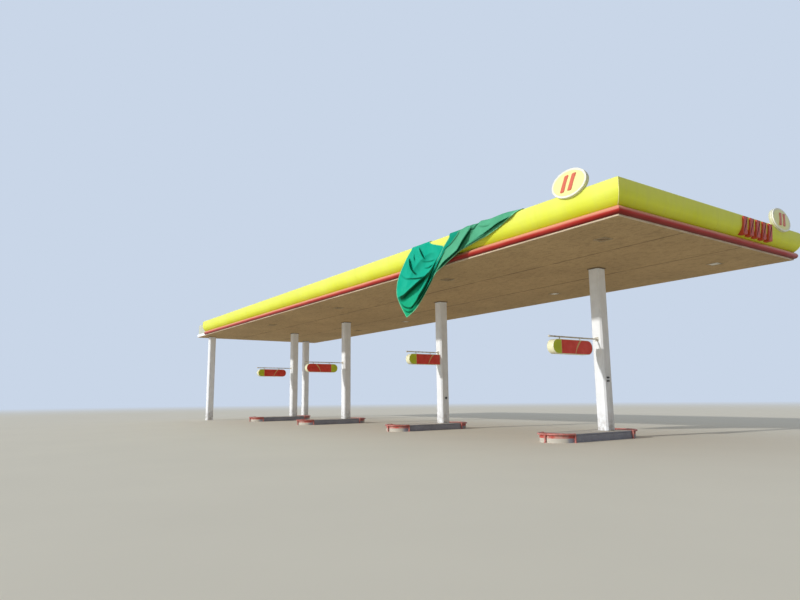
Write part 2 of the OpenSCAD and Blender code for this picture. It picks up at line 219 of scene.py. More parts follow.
def piece(name, shape, materials, replaces=(), sharp=35.0, uv=False, closed=True):
    """Makes a shape a mesh that rides on the canopy, its closed faces turned outwards, smooth
    but for edges steeper than sharp degrees."""
    mesh = bpy.data.meshes.new(name)
    mesh.from_pydata(np.concatenate(shape.points).tolist(), [], shape.faces)
    materials = [materials] if isinstance(materials, bpy.types.Material) else materials
    for material in materials:
        mesh.materials.append(material)
    mesh.polygons.foreach_set("material_index", shape.slots)
    if uv:
        layer = mesh.uv_layers.new(name="UVMap")
        corner = np.zeros(len(mesh.loops), np.int32)
        mesh.loops.foreach_get("vertex_index", corner)
        layer.data.foreach_set("uv", np.concatenate(shape.uv)[corner].astype(np.float32).ravel())
    item = bpy.data.objects.new(name, mesh)
    bpy.context.scene.collection.objects.link(item)
    if closed:
        work = bmesh.new()
        work.from_mesh(mesh)
        turn_outwards(work)
        work.to_mesh(mesh)
        work.free()
    mesh.shade_smooth()
    mesh.set_sharp_from_angle(angle=math.radians(sharp))
    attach(item, "root")
    if replaces:
        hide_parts(*replaces)
    return item


def rounded(width, height, radii, steps):
    """Outline of a rectangle round the origin with rounded corners, and its outward normals.
    radii is one for all corners, or those of the right-top, left-top, left-bottom and
    right-bottom ones: each corner is a quarter circle, its middle set in from both sides by
    its radius."""
    turn = np.linspace(0, math.pi / 2, steps + 1)
    points, normals = [], []
    for number, radius in enumerate(np.broadcast_to(radii, 4)):
        angle = turn + number * math.pi / 2
        side = np.array([1 if number in (0, 3) else -1, 1 if number < 2 else -1])
        middle = side * (np.array([width, height]) / 2 - radius)
        normal = np.stack([np.cos(angle), np.sin(angle)], -1)
        points.append(middle + normal * radius)
        normals.append(normal)
    return np.concatenate(points), np.concatenate(normals)


def oval(wide, high, steps=96):
    """Outline of an ellipse with these half axes: (a cos t, b sin t), and its outward normals
    (b cos t, a sin t) made one long."""
    t = np.linspace(0, 2 * math.pi, steps, endpoint=False)
    normals = np.stack([high * np.cos(t), wide * np.sin(t)], -1)
    return (np.stack([wide * np.cos(t), high * np.sin(t)], -1),
            normals / np.linalg.norm(normals, axis=1, keepdims=True))


def stack(shape, outline, layers, origin, axes, slots=None):
    """Adds a closed body made of rings. Each layer is (grow, rise, scale): the outline times
    scale, moved along its normals by grow, at the height rise. The axes are the directions
    across, up and out of the outline. Flat faces close both ends. slots gives the material
    number of each ring of faces and of the two end faces."""
    points, normals = outline
    across, up, out = np.asarray(axes)
    rings = []
    for grow, rise, *scale in layers:
        flat = points * (scale[0] if scale else 1.0) + normals * grow
        rings.append(np.asarray(origin) + flat[:, :1] * across + flat[:, 1:] * up + rise * out)
    return shape.add(rings, *body(len(rings), len(points)), slots=slots)


def tube(shape, path, radius, up, sides=20):
    """Adds a round bar along a path: at each point a circle across the path's direction,
    measured from the direction up, with flat ends."""
    path, along = np.asarray(path), direction(path)
    side = np.cross(along, up)
    side /= np.linalg.norm(side, axis=1, keepdims=True)
    top = np.cross(side, along)
    t = np.linspace(0, 2 * math.pi, sides, endpoint=False)[None, :, None]
    grid = path[:, None] + radius * (np.cos(t) * side[:, None] + np.sin(t) * top[:, None])
    return shape.add(grid, *body(len(path), sides))


def edge_place(side, along, out, rise):
    """Points of the deck's edge: along is the place along the side, out the distance outwards
    from the soffit's edge and rise the height over the soffit."""
    x, y = {"front": (along, FRONT - out), "rear": (along, REAR + out),
            "near_end": (NEAR + out, along)}[side]
    return np.stack(np.broadcast_arrays(x, y, SOFFIT + rise), -1)


def edge_stations(near_end, pitch, gap, step):
    """Places along a side where the sheet is worked out, evenly by step, and four at each
    joint, one pitch apart. Returns them with each place's depth in the joint, from 0 to 1."""
    first, last = (FRONT, REAR) if near_end else (CLAD_FAR, NEAR)
    low, high = first + (MITRE_CLEAR if near_end else 0.0), last - MITRE_CLEAR
    joints = np.arange(last - pitch, first + pitch / 4, -pitch)
    even = np.arange(first, last, step)
    clear = np.min(np.abs(even[:, None] - joints), axis=1) >= 2 * gap
    even = even[clear & (even > low) & (even < high)]
    cuts = (joints[:, None] + gap * np.array([-1.0, -0.5, 0.5, 1.0])).ravel()
    cuts = cuts[(cuts > low) & (cuts < high)]
    places = np.concatenate([even, cuts])
    deep = np.concatenate([0 * even, np.tile([0.0, 1.0, 1.0, 0.0], len(cuts) // 4)])
    order = np.argsort(places)
    return places[order], deep[order], joints


def section_normals(section):
    """Outward normals of an open section: its direction turned by a quarter turn."""
    along = direction(section)
    return np.stack([along[:, 1], -along[:, 0]], -1)


def edge_shell(side, line, pitch, gap, groove, bow, step):
    """A thin sheet along one side: the section line carried along it as an outer and an inner
    skin, with mitred corners. The outer skin sinks by groove at each joint and for the last
    20 mm before a mitre, and between joints it bows by bow times the sines of the way along a
    sheet and round the section."""
    outer, inner = line(0.0), line(SHEET)[::-1]
    near_end = side == "near_end"
    places, deep, joints = edge_stations(near_end, pitch, gap, step)
    share = np.sin(math.pi * ((places[:, None] - joints[-1]) / pitch % 1))
    turn = np.sin(np.linspace(0, math.pi, len(outer)))[None, :]
    wave = np.sin(places[:, None] * 1.7 + 2.0 * np.arange(len(outer))[None, :] / len(outer))
    lift = bow * share ** 2 * turn * wave - bow * turn - groove * deep[:, None]
    sunk = np.full((2, len(outer)), -groove)
    lift = np.concatenate([sunk, lift[:1], lift, lift[:1], sunk])
    loops = []
    for section, moved in ((outer, lift[:, :, None] * section_normals(outer)), (inner, 0.0)):
        moved = section[None] + moved + np.zeros((len(lift), 1, 1))
        reach = section[:, 0]
        start = FRONT - reach if near_end else CLAD_FAR + 0.0 * reach
        end = (REAR if near_end else NEAR) + reach
        along = np.concatenate([start + MITRE_SINK, places[:, None] + 0.0 * reach,
                                end - MITRE_SINK[::-1]])
        loops.append(edge_place(side, along, moved[..., 0], moved[..., 1]))
    grid = np.concatenate(loops, axis=1)
    rows, cols = grid.shape[:2]
    i = np.arange(cols // 2 - 1)
    cap = np.stack([i, i + 1, cols - 2 - i, cols - 1 - i], -1)
    return Shape().add(grid, quads(rows, cols, wrap=True), cap, cap + (rows - 1) * cols)


def fascia_line(inset):
    """The fascia's section: a lip out from the upstand, an arc of BARREL_R that turns upright,
    the face, a quarter circle at the top and the sheet down the back, moved in by inset."""
    small = BARREL_R - inset
    low = NOSE_HIGH + inset
    t = np.linspace(-math.asin((BARREL_MID - low) / small), 0, 31)
    curve = np.stack([FACE_OUT - BARREL_R + small * np.cos(t), BARREL_MID + small * np.sin(t)],
                     -1)
    high = FASCIA_TOP - CORNER_R
    face = np.stack([np.full(4, FACE_OUT - inset), np.linspace(BARREL_MID, high, 6)[1:-1]], -1)
    t = np.linspace(0, math.pi / 2, 11)
    corner = np.stack([np.cos(t), np.sin(t)], -1) * (CORNER_R - inset)
    corner += [FACE_OUT - CORNER_R, high]
    back, top = inset - FASCIA_BACK, FASCIA_TOP - inset
    rear = [[0.0, top], [back, top], [back, ROOF - SOFFIT]]
    return np.concatenate([[[-UPSTAND_SET, low]], curve, face, corner, rear])


def nose_line(inset):
    """The nose's section: a half circle between two short flats, moved in by inset."""
    radius = (NOSE_HIGH - NOSE_LOW) / 2
    t = np.linspace(-math.pi / 2, math.pi / 2, 33)
    half = np.stack([np.cos(t), np.sin(t)], -1) * (radius - inset)
    half += [NOSE_OUT - radius, (NOSE_HIGH + NOSE_LOW) / 2]
    return np.concatenate([[[0.0, NOSE_LOW + inset]], half, [[0.0, NOSE_HIGH - inset]]])


# The draped cloth. A place on it is (u, fall), in metres: u from the near end's soffit edge
# towards the far end, fall down the sheet from the foot of the fascia's top corner, and below
# 0 on its way over the top. Each row joins a place on one edge to one on the other.
# HOLLOW_FULL is the height of a fold whose painted shade is full, and HOLLOW_EDGE the width of
# the painted shade before its ridge. From the fall SIGHT_FROM on, and fully after SIGHT_OVER
# more, a fold stands out along the line of sight.
CLOTH_GAP = 0.02
HOLLOW_FULL = 0.10
HOLLOW_EDGE = 0.02
SIGHT_FROM = -0.13
SIGHT_OVER = 0.16
HEM = 0.04
LINE_STEPS = 71
LOBE_GRID = (176, 120)
BAND_GRID = (250, 60)
LOBE_EDGES = [
    ((8.23, -0.60), (7.15, -0.60)), ((8.23, -0.30), (7.17, -0.30)),
    ((8.24, -0.02), (7.18, -0.03)), ((8.41, 0.13), (6.85, 0.12)), ((8.60, 0.30), (6.45, 0.26)),
    ((8.83, 0.55), (6.42, 0.45)), ((9.01, 0.77), (6.55, 0.68)), ((9.16, 1.05), (6.75, 0.92)),
    ((9.21, 1.32), (6.97, 1.15)), ((9.18, 1.55), (7.16, 1.36)), ((9.06, 1.77), (7.40, 1.61)),
    ((8.87, 2.04), (7.80, 1.98)), ((8.72, 2.23), (8.20, 2.23)), ((8.60, 2.37), (8.56, 2.37)),
]
BAND_EDGES = [
    ((2.93, -0.30), (2.93, -0.09)), ((3.40, -0.52), (3.24, 0.00)), ((3.90, -0.60), (3.76, 0.21)),
    ((4.40, -0.62), (4.36, 0.38)), ((4.90, -0.62), (4.75, 0.44)), ((5.40, -0.61), (5.22, 0.52)),
    ((5.85, -0.60), (5.52, 0.57)), ((6.12, -0.40), (5.75, 0.64)), ((6.13, -0.15), (5.95, 0.72)),
    ((6.14, 0.01), (6.15, 0.79)), ((6.29, 0.14), (6.35, 0.87)), ((6.43, 0.27), (6.55, 0.95)),
    ((6.60, 0.46), (6.72, 1.01)), ((6.77, 0.63), (6.85, 1.06)), ((6.95, 0.83), (6.91, 1.10)),
    ((7.09, 1.04), (6.97, 1.16)), ((7.27, 1.33), (7.13, 1.35)), ((7.52, 1.60), (7.40, 1.62)),
    ((7.82, 1.83), (7.67, 1.87)), ((8.07, 1.99), (8.00, 2.13)), ((8.32, 2.14), (8.30, 2.27)),
    ((8.55, 2.34), (8.58, 2.37)),
]
# Each fold: its ridge's line, how wide it rises to it and falls from it, and how high it
# stands at each place of the line. It falls on the left of the line's direction as seen from
# the front, where a line drawn down to the left falls to its lower right.
LOBE_FOLDS = [
    ([(6.84, 0.62), (7.12, 0.89), (7.44, 1.05), (7.87, 1.19), (8.24, 1.33), (8.55, 1.45),
      (8.78, 1.54), (9.00, 1.57)], 0.60, 0.30,
     [0.03, 0.12, 0.19, 0.23, 0.24, 0.22, 0.17, 0.05]),
    ([(6.98, 0.86), (7.12, 1.00), (7.23, 1.11), (7.43, 1.32), (7.64, 1.51), (7.85, 1.68),
      (8.02, 1.85), (8.29, 2.03), (8.52, 2.13)], 0.15, 0.27,
     [0.0, 0.06, 0.10, 0.14, 0.15, 0.14, 0.11, 0.07, 0.0]),
    ([(8.15, 2.00), (8.45, 2.04), (8.75, 1.95), (8.98, 1.76)], 0.11, 0.05,
     [0.0, 0.08, 0.08, 0.0]),
    ([(8.19, 2.13), (8.38, 2.18), (8.60, 2.15), (8.83, 2.00)], 0.09, 0.045,
     [0.0, 0.06, 0.06, 0.0]),
    ([(7.81, -0.01), (7.74, 0.16), (7.64, 0.32), (7.54, 0.44), (7.42, 0.52)], 0.20, 0.055,
     [0.0, 0.09, 0.09, 0.07, 0.0]),
    ([(8.11, 0.12), (8.11, 0.35), (8.02, 0.52)], 0.16, 0.05, [0.0, 0.055, 0.0]),
    ([(8.42, 0.26), (8.40, 0.39), (8.36, 0.59), (8.24, 0.76), (8.07, 0.90), (7.92, 0.98)],
     0.22, 0.075, [0.0, 0.09, 0.12, 0.12, 0.10, 0.0]),
    ([(7.50, 1.06), (7.79, 1.08), (8.30, 1.02), (8.62, 0.96), (8.89, 0.80), (9.02, 0.68)],
     0.15, 0.06, [0.0, 0.09, 0.08, 0.03, 0.015, 0.0]),
    ([(6.90, 0.60), (7.09, 0.61), (7.39, 0.58), (7.65, 0.49), (7.78, 0.42)], 0.14, 0.05,
     [0.0, 0.045, 0.045, 0.03, 0.0]),
    ([(7.00, 0.74), (7.18, 0.79), (7.36, 0.81), (7.58, 0.77)], 0.10, 0.045,
     [0.0, 0.055, 0.05, 0.0]),
    ([(6.75, 0.40), (7.30, 0.36), (7.95, 0.62), (8.55, 1.10)], 0.40, 0.50,
     [0.0, 0.02, 0.03, 0.0]),
]
BAND_FOLDS = [
    ([(4.90, -0.35), (5.02, -0.12), (5.11, 0.00), (5.25, 0.07), (5.43, 0.21), (5.60, 0.35),
      (5.76, 0.50), (6.07, 0.63), (6.43, 0.76), (6.66, 0.89), (6.90, 1.05)], 0.34, 0.20,
     [0.0, 0.02, 0.07, 0.12, 0.18, 0.21, 0.22, 0.20, 0.16, 0.11, 0.05]),
    ([(2.80, -0.12), (3.29, 0.01), (3.71, 0.07), (3.99, 0.12), (4.32, 0.22), (4.73, 0.32),
      (5.20, 0.42)], 0.30, 0.10, [0.0, 0.05, 0.10, 0.12, 0.10, 0.05, 0.0]),
    ([(5.62, -0.10), (5.65, -0.01), (5.83, 0.13), (6.08, 0.27), (6.28, 0.34), (6.45, 0.43),
      (6.62, 0.60)], 0.045, 0.035, [0.0, -0.07, -0.08, -0.09, -0.08, -0.06, 0.0]),
    ([(4.66, -0.20), (4.71, -0.10), (4.83, -0.05), (4.94, 0.02), (5.12, 0.03)], 0.06, 0.05,
     [0.0, -0.06, -0.08, -0.08, -0.06]),
    ([(4.84, -0.04), (4.72, -0.12), (4.70, -0.50)], 0.90, 0.05, [0.02, 0.05, 0.05]),
    ([(4.15, 0.05), (4.32, 0.08), (4.54, 0.06), (4.77, -0.01)], 0.05, 0.03,
     [0.0, -0.03, -0.03, 0.0]),
    ([(6.26, 0.27), (6.47, 0.48), (6.67, 0.67), (6.84, 0.85), (7.12, 1.12), (7.52, 1.57)],
     0.10, 0.07, [0.0, 0.05, 0.07, 0.08, 0.06, 0.0]),
    ([(4.10, 0.26), (4.67, 0.37), (5.09, 0.44), (5.58, 0.54)], 0.10, 0.06,
     [0.0, 0.06, 0.08, 0.06]),
    ([(7.02, 1.14), (7.20, 1.32), (7.52, 1.61), (7.82, 1.85), (8.20, 2.08)], 0.07, 0.14,
     [0.06, 0.13, 0.14, 0.12, 0.0]),
]
# Left of this line, and beyond its end, the band shows the cloth's right side
REVERSE_EDGE = [(5.50, -0.60), (5.66, -0.10), (5.94, 0.14), (6.20, 0.29), (6.40, 0.43),
                (6.60, 0.62), (6.84, 0.90), (6.84, 1.30)]


def smooth_line(points, count):
    """A smooth line through points: on each stretch the cubic whose slopes at its ends are
    half the way between the points on either side of each."""
    p = np.asarray(points, float)
    p = np.concatenate([[2 * p[0] - p[1]], p, [2 * p[-1] - p[-2]]])
    at = np.linspace(0, len(p) - 3 - 1e-9, count)
    i = at.astype(int)
    t = (at - i)[:, None]
    a, b, c, d = p[i], p[i + 1], p[i + 2], p[i + 3]
    return b + 0.5 * t * (c - a + t * (2 * a - 5 * b + 4 * c - d + t * (3 * b - a - 3 * c + d)))


def between_edges(edges, rows, cols):
    """Places of a sheet: straight rows in even steps from one smooth edge to the other. With
    them each place's share of the painted highlight along the hems: 1 by either edge, falling to
    0 at HEM inside it."""
    edges = np.asarray(edges, float)
    first, last = smooth_line(edges[:, 0], rows), smooth_line(edges[:, 1], rows)
    t = np.linspace(0, 1, cols)[None, :, None]
    wide = np.linalg.norm(last - first, axis=1)[:, None]
    hem_highlight = np.clip(2 - 2 * np.minimum(t, 1 - t)[..., 0] * wide / HEM, 0, 1)
    return (first[:, None] * (1 - t) + last[:, None] * t).reshape(-1, 2), hem_highlight.ravel()


def beside(places, line):
    """The way along a smooth line to the point nearest each place, from 0 to 1, and the
    distance to it, negative on the side where a fold rises."""
    path = smooth_line(line, LINE_STEPS + 1)
    near = np.argmin(((places[:, None] - path[None]) ** 2).sum(-1), axis=1)
    x, y = (places - path[near]).T
    along_x, along_y = np.gradient(path, axis=0)[near].T
    return near / LINE_STEPS, np.sign(along_x * y - along_y * x) * np.hypot(x, y)


def eased(x):
    """A smooth step: 0 up to 0, 1 from 1 on, and 3 x squared less 2 x cubed between."""
    x = np.clip(x, 0, 1)
    return x * x * (3 - 2 * x)


def ripple(places):
    """Slight ripples: two sines of the place, 3 mm high each."""
    u, fall = places[:, 0], places[:, 1]
    return 0.003 * (np.sin(7.1 * u + 5.3 * fall) + np.sin(11.0 * fall - 4.7 * u + 1.0))


def folded(places, folds):
    """How far a sheet stands out, and how much painted shade it gets in its folds, from 0 to 1.
    At the distance d from a fold's line it stands out by the height there times (1 + d / rise) to
    the power 1.5 before the ridge, and times 1 less a smooth step of d / fall after it. The
    painted shade there is one and a half times the height's share of HOLLOW_FULL times the same
    share of the ridge, at most 1. Before a raised ridge the painted shade ends within
    HOLLOW_EDGE."""
    lift, deep = np.zeros(len(places)), np.zeros(len(places))
    for line, rise, fall, heights in folds:
        way, d = beside(places, line)
        before = np.clip(1 + d / rise, 0, 1) ** 1.5
        after = 1 - eased(d / fall)
        height = np.interp(way * (len(heights) - 1), range(len(heights)), heights)
        lift += height * np.where(d < 0, before, after)
        share = np.clip(np.abs(height) / HOLLOW_FULL, 0, 1)
        before = np.where(height < 0, before, np.clip(1 + d / HOLLOW_EDGE, 0, 1))
        deep = np.maximum(deep, np.clip(1.5 * share * np.where(d < 0, before, after), 0, 1))
    return lift, deep


def hang(places, lift):
    """Points of a sheet over the front fascia. Its way is straight down the face, a quarter
    circle over the top corner and level over the top, all CLOTH_GAP clear. The lift moves a
    point off the top along the way's normal, and off the face along its line of sight, so
    that the folds keep the places that the photograph shows."""
    u, fall = places[:, 0], places[:, 1]
    turn = CORNER_R + CLOTH_GAP
    angle = np.clip(-fall / turn, 0, math.pi / 2)
    over = np.maximum(-fall - turn * math.pi / 2, 0)
    out = FACE_OUT - CORNER_R + turn * np.cos(angle) - over
    rise = FASCIA_TOP - CORNER_R + turn * np.sin(angle) - np.maximum(fall, 0)
    points = edge_place("front", NEAR - u, out, rise)
    sight = np.asarray(CAMERA_AT) - points
    sight /= -sight[:, 1:2]
    normal = np.stack([0 * u, -np.cos(angle), np.sin(angle)], -1)
    share = eased((fall - SIGHT_FROM) / SIGHT_OVER)[:, None]
    return points + lift[:, None] * (sight * share + normal * (1 - share))


# Materials

def as_colour(value):
    """A colour from a hex code or from a grey between 0 and 1, or as it is."""
    if isinstance(value, str):
        return linear(value)
    return (value, value, value, 1) if isinstance(value, (int, float)) else value


def output(source):
    """A node's first output, or an output as it is."""
    return source.outputs[0] if isinstance(source, bpy.types.Node) else source


def put(tree, kind, sockets=(), stops=(), **fields):
    """Adds a node. fields are its own settings, and stops those of a colour ramp. sockets are
    its inputs, in order or by name or number: each a value, a hex code, or the node or output
    that feeds it."""
    node = tree.nodes.new("ShaderNode" + kind)
    for key, value in fields.items():
        setattr(node, key, value)
    if stops:
        ramp = node.color_ramp.elements
        for place, tone in stops[1:-1]:
            ramp.new(place).color = as_colour(tone)
        for end in (0, -1):
            ramp[end].position, ramp[end].color = stops[end][0], as_colour(stops[end][1])
    for key, value in sockets.items() if isinstance(sockets, dict) else enumerate(sockets):
        source = output(value)
        if isinstance(source, bpy.types.NodeSocket):
            tree.links.new(source, node.inputs[key])
        else:
            node.inputs[key].default_value = linear(value) if isinstance(value, str) else value
    return node


def finish(name, rough, specular=0.5):
    """A new material and its tree, with these values set on the Principled shader itself."""
    material = bpy.data.materials.new(name)
    material.use_nodes = True
    inputs = material.node_tree.nodes["Principled BSDF"].inputs
    inputs["Roughness"].default_value = rough
    inputs["Specular IOR Level"].default_value = specular
    return material, material.node_tree


def finished(material, colour, *grain, strength=0.0, distance=0.0):
    """Gives a material's shader its colour, and bump from noise of the object's coordinates:
    each grain is a scale, its detail and its share."""
    tree = material.node_tree
    inputs = tree.nodes["Principled BSDF"].inputs
    tree.links.new(output(colour), inputs["Base Color"])
    if grain:
        place, total = put(tree, "TexCoord").outputs["Object"], 0.0
        for scale, detail, share in grain:
            noise = put(tree, "TexNoise", {"Vector": place, "Scale": scale, "Detail": detail})
            total = put(tree, "Math", [noise, share, total], operation="MULTIPLY_ADD")
        bump = put(tree, "Bump", {"Strength": strength, "Distance": distance, "Height": total})
        tree.links.new(bump.outputs[0], inputs["Normal"])
    return material


def shade(tone, factor):
    """A colour made darker or lighter in linear light."""
    return tuple(min(1.0, part * factor) for part in as_colour(tone)[:3]) + (1.0,)


def mixed(tone, other, amount):
    """A colour moved towards another by an amount from 0 to 1."""
    pairs = zip(tone[:3], as_colour(other)[:3])
    return tuple(a + (b - a) * amount for a, b in pairs) + (1.0,)


def cloudy(tree, scale, detail, *stops, stretch=(1, 1, 1), seed=0.0):
    """Colours in soft clouds: noise of the object's coordinates, sent through colour stops."""
    moved = put(tree, "Mapping", {"Vector": put(tree, "TexCoord").outputs["Object"],
                                  "Location": (seed, seed * 0.7, seed * 1.3),
                                  "Scale": stretch})
    noise = put(tree, "TexNoise", {"Vector": moved, "Scale": scale, "Detail": detail})
    return put(tree, "ValToRGB", [noise], stops)


def layered(tree, under, over, share, blend="MIX"):
    """One colour over another by a share: a number, a node, or some of these multiplied."""
    if isinstance(share, tuple):
        share, *others = share
        for other in others:
            share = put(tree, "Math", [share, other], operation="MULTIPLY")
    return put(tree, "Mix", {0: share, 6: under, 7: over}, data_type="RGBA",
               blend_type=blend).outputs[2]


def part_of(tree, way, source="Object"):
    """The X, Y or Z of a point's place on the object, or of the surface's normal."""
    node = put(tree, "NewGeometry" if source == "Normal" else "TexCoord")
    return put(tree, "SeparateXYZ", [node.outputs[source]]).outputs[way]


def away(tree, way, middle=0.0, source="Object"):
    """How far that part is from a middle value, to either side."""
    off = put(tree, "Math", [part_of(tree, way, source), middle], operation="SUBTRACT")
    return put(tree, "Math", [off], operation="ABSOLUTE")


def ranged(tree, way, low, high, start=0.0, end=1.0, source="Object"):
    """A share that is start where that part is low or less, and turns evenly to end where it
    is high or more."""
    return put(tree, "MapRange", [part_of(tree, way, source), low, high, start, end])


def coated_sheet(colours):
    """Polyester-coated steel sheet, rolled to the barrel: even colour with a soft gloss that
    varies a little in clouds about a metre wide, paler towards its top as painted sheen of the
    sky, and darker along its foot as painted shade."""
    material, tree = finish("coated_steel_sheet_yellow", 0.5, 0.14)
    foot = SOFFIT + NOSE_HIGH
    colour = cloudy(tree, 0.9, 3.0, (0.3, shade(colours.yellow, 0.95)),
                    (0.7, mixed(colours.yellow, (1, 1, 0.75), 0.06)))
    run = cloudy(tree, 3.0, 4.0, (0.45, 0), (0.8, 1), stretch=(2.2, 2.2, 0.15))
    # Painted sheen of the sky: paler towards the top of the sheet
    painted_sheen = ranged(tree, "Z", SOFFIT + 0.25, SOFFIT + FASCIA_TOP, 0.0, 0.42)
    colour = layered(tree, colour, "#F2F4A4", painted_sheen)
    # Painted shade: darker along the sheet's foot, where it curves under
    colour = layered(tree, colour, "#4C440C", ranged(tree, "Z", foot, foot + 0.2, 0.27, 0.0))
    return finished(material, layered(tree, colour, "#B9B394", (run, 0.10)), (1.3, 2.0, 1.0),
                    strength=0.35, distance=0.004)


def gloss_nose(colours):
    """Gloss-coated steel sheet rolled to a half tube: a soft shine, paler pink along its top
    where it faces up, partly faded and partly painted reflection of the sky, and darker
    underneath as painted shade."""
    material, tree = finish("gloss_coated_sheet_red", 0.38, 0.25)
    colour = cloudy(tree, 1.4, 3.0, (0.3, shade(colours.red, 0.88)),
                    (0.75, mixed(colours.red, (0.9, 0.5, 0.4), 0.06)))
    # Paler pink where the surface faces up: partly faded, partly painted reflection of the sky
    colour = layered(tree, colour, "#E49A80", ranged(tree, "Z", -0.2, 0.45, source="Normal"))
    # Painted shade: darker where the surface faces down
    under = ranged(tree, "Z", -0.95, -0.2, 1.0, 0.0, "Normal")
    return finished(material, layered(tree, colour, "#76150D", under), (2.2, 2.0, 1.0),
                    strength=0.25, distance=0.003)


def painted_bar(colours):
    """Cream enamel on flat steel bar, with brown dirt along it."""
    material, tree = finish("enamelled_flat_bar", 0.5)
    return finished(material, cloudy(tree, 2.5, 5.0,
                                     (0.35, mixed(colours.cream, "#8E7657", 0.45)),
                                     (0.6, colours.cream), stretch=(0.4, 1, 3)))


def stippled_plaster(colours):
    """Stippled cement plaster, sprayed on and left rough: lumps of 20 to 60 mm, drawn coarse
    enough to show, with brown dust in wide clouds and broken dark lines of dirt at its joints."""
    material, tree = finish("stippled_cement_plaster", 0.92, 0.2)
    colour = cloudy(tree, 0.45, 4.0, (0.3, shade(colours.plaster, 0.88)),
                    (0.7, shade(colours.plaster, 1.04)))
    marks = cloudy(tree, 9.0, 5.0, (0.34, (0.35, 0.33, 0.30, 1)), (0.52, 1),
                   stretch=(0.55, 1, 1), seed=3.0)
    pits = cloudy(tree, 26.0, 3.0, (0.36, (0.55, 0.52, 0.48, 1)), (0.5, 1))
    colour = layered(tree, colour, marks, 0.26, "MULTIPLY")
    colour = layered(tree, colour, pits, 0.35, "MULTIPLY")
    broken = cloudy(tree, 1.6, 5.0, (0.36, 0.25), (0.6, 0.9), seed=6.0)
    for joint in PLASTER_JOINTS:
        near = put(tree, "MapRange", [away(tree, "Y", joint), 0.012, 0.04, 1.0, 0.0])
        colour = layered(tree, colour, "#4E3F2E", (near, broken))
    return finished(material, colour, (22.0, 3.0, 1.0), (60.0, 2.0, 0.5), strength=0.55,
                    distance=0.008)


def masonry_paint(colours, name="masonry_paint_white", tone=None, splash=0.9):
    """Masonry paint on plaster: matt white with faint trowel marks, grey rain streaks and
    brown splash marks near the ground."""
    tone = tone or colours.masonry
    material, tree = finish(name, 0.78, 0.3)
    base = cloudy(tree, 3.2, 5.0, (0.32, shade(tone, 0.93)), (0.62, tone))
    run = cloudy(tree, 6.0, 4.0, (0.5, 1), (0.78, (0.62, 0.60, 0.55, 1)),
                 stretch=(1, 1, 0.06), seed=5.0)
    streaked = layered(tree, base, run, 0.20, "MULTIPLY")
    mud = cloudy(tree, 7.0, 6.0, (0.38, 0), (0.62, 1), seed=9.0)
    low = ranged(tree, "Z", 0.22, splash, 1.0, 0.0)
    return finished(material, layered(tree, streaked, "#8B7B66", (mud, low, 0.55)),
                    (14.0, 4.0, 1.0), (90.0, 2.0, 0.3), strength=0.35, distance=0.006)


def slab_finish(colours):
    """The slab: white masonry paint on its edges, and bare weathered concrete on its top."""
    material = masonry_paint(colours, "painted_slab_edge", splash=0.3)
    tree = material.node_tree
    painted = tree.nodes["Principled BSDF"].inputs["Base Color"].links[0].from_socket
    tone = colours.concrete
    bare = cloudy(tree, 0.5, 7.0, (0.3, shade(tone, 0.6)), (0.5, tone), (0.7, shade(tone, 1.25)),
                  seed=7.0)
    upward = put(tree, "Math", [part_of(tree, "Z", "Normal"), 0.5], operation="GREATER_THAN")
    return finished(material, layered(tree, painted, bare, upward))


def cast_concrete(name, tone):
    """Cast concrete or mortar left as struck: grey with damp clouds, dust and fine pores."""
    material, tree = finish(name, 0.9, 0.25)
    base = cloudy(tree, 0.7, 6.0, (0.3, shade(tone, 0.62)), (0.5, tone),
                  (0.72, shade(tone, 1.22)))
    spots = cloudy(tree, 11.0, 5.0, (0.35, (0.62, 0.60, 0.56, 1)), (0.55, 1))
    return finished(material, layered(tree, base, spots, 0.6, "MULTIPLY"), (9.0, 5.0, 1.0),
                    (70.0, 2.0, 0.35), strength=0.5, distance=0.008)


def kerb_paint(colours):
    """Blue-grey floor paint on a plastered kerb's sides, paler round its ends, partly worn to the
    pale plaster and partly painted sunlight, under a band of faded red, scuffed along its edges
    and dusty on top."""
    material, tree = finish("floor_paint_blue_grey", 0.7)
    colour = cloudy(tree, 2.6, 6.0, (0.3, shade(colours.kerb, 0.8)), (0.6, colours.kerb))
    # Paler where the surface faces an end: partly worn paint, partly painted sunlight
    ends_worn_and_lit = away(tree, "Y", source="Normal")
    for share in (put(tree, "MapRange", [ends_worn_and_lit, 0.3, 0.5, 0.0, 0.85]),
                  ranged(tree, "Z", 0.3, 0.95, 0.0, 0.8, "Normal"),
                  cloudy(tree, 16.0, 5.0, (0.60, 0), (0.70, 0.5))):
        colour = layered(tree, colour, "#CFC8B8", share)
    mid, size, *_ = box_of("island_1")
    end = size.y / 2
    at_end = put(tree, "MapRange", [away(tree, "Y", mid.y), end - 0.66, end - 0.58])
    band = put(tree, "Math", [part_of(tree, "Z"), 0.13], operation="GREATER_THAN")
    worn = cloudy(tree, 5.0, 4.0, (0.36, 0.5), (0.6, 1))
    return finished(material, layered(tree, colour, colours.pipe, (at_end, band, worn)),
                    (18.0, 5.0, 1.0), strength=0.5, distance=0.006)


def pipe_paint(colours):
    """Red enamel on steel pipe, faded to pink in clouds and chipped to grey primer."""
    material, tree = finish("worn_enamel_red", 0.48)
    base = cloudy(tree, 4.0, 5.0, (0.3, shade(colours.pipe, 0.75)),
                  (0.7, mixed(colours.pipe, (1, 0.8, 0.75), 0.25)))
    chips = cloudy(tree, 30.0, 4.0, (0.60, 0), (0.64, 1), seed=4.0)
    return finished(material, layered(tree, base, "#8C8078", chips), (40.0, 3.0, 1.0),
                    strength=0.3, distance=0.002)


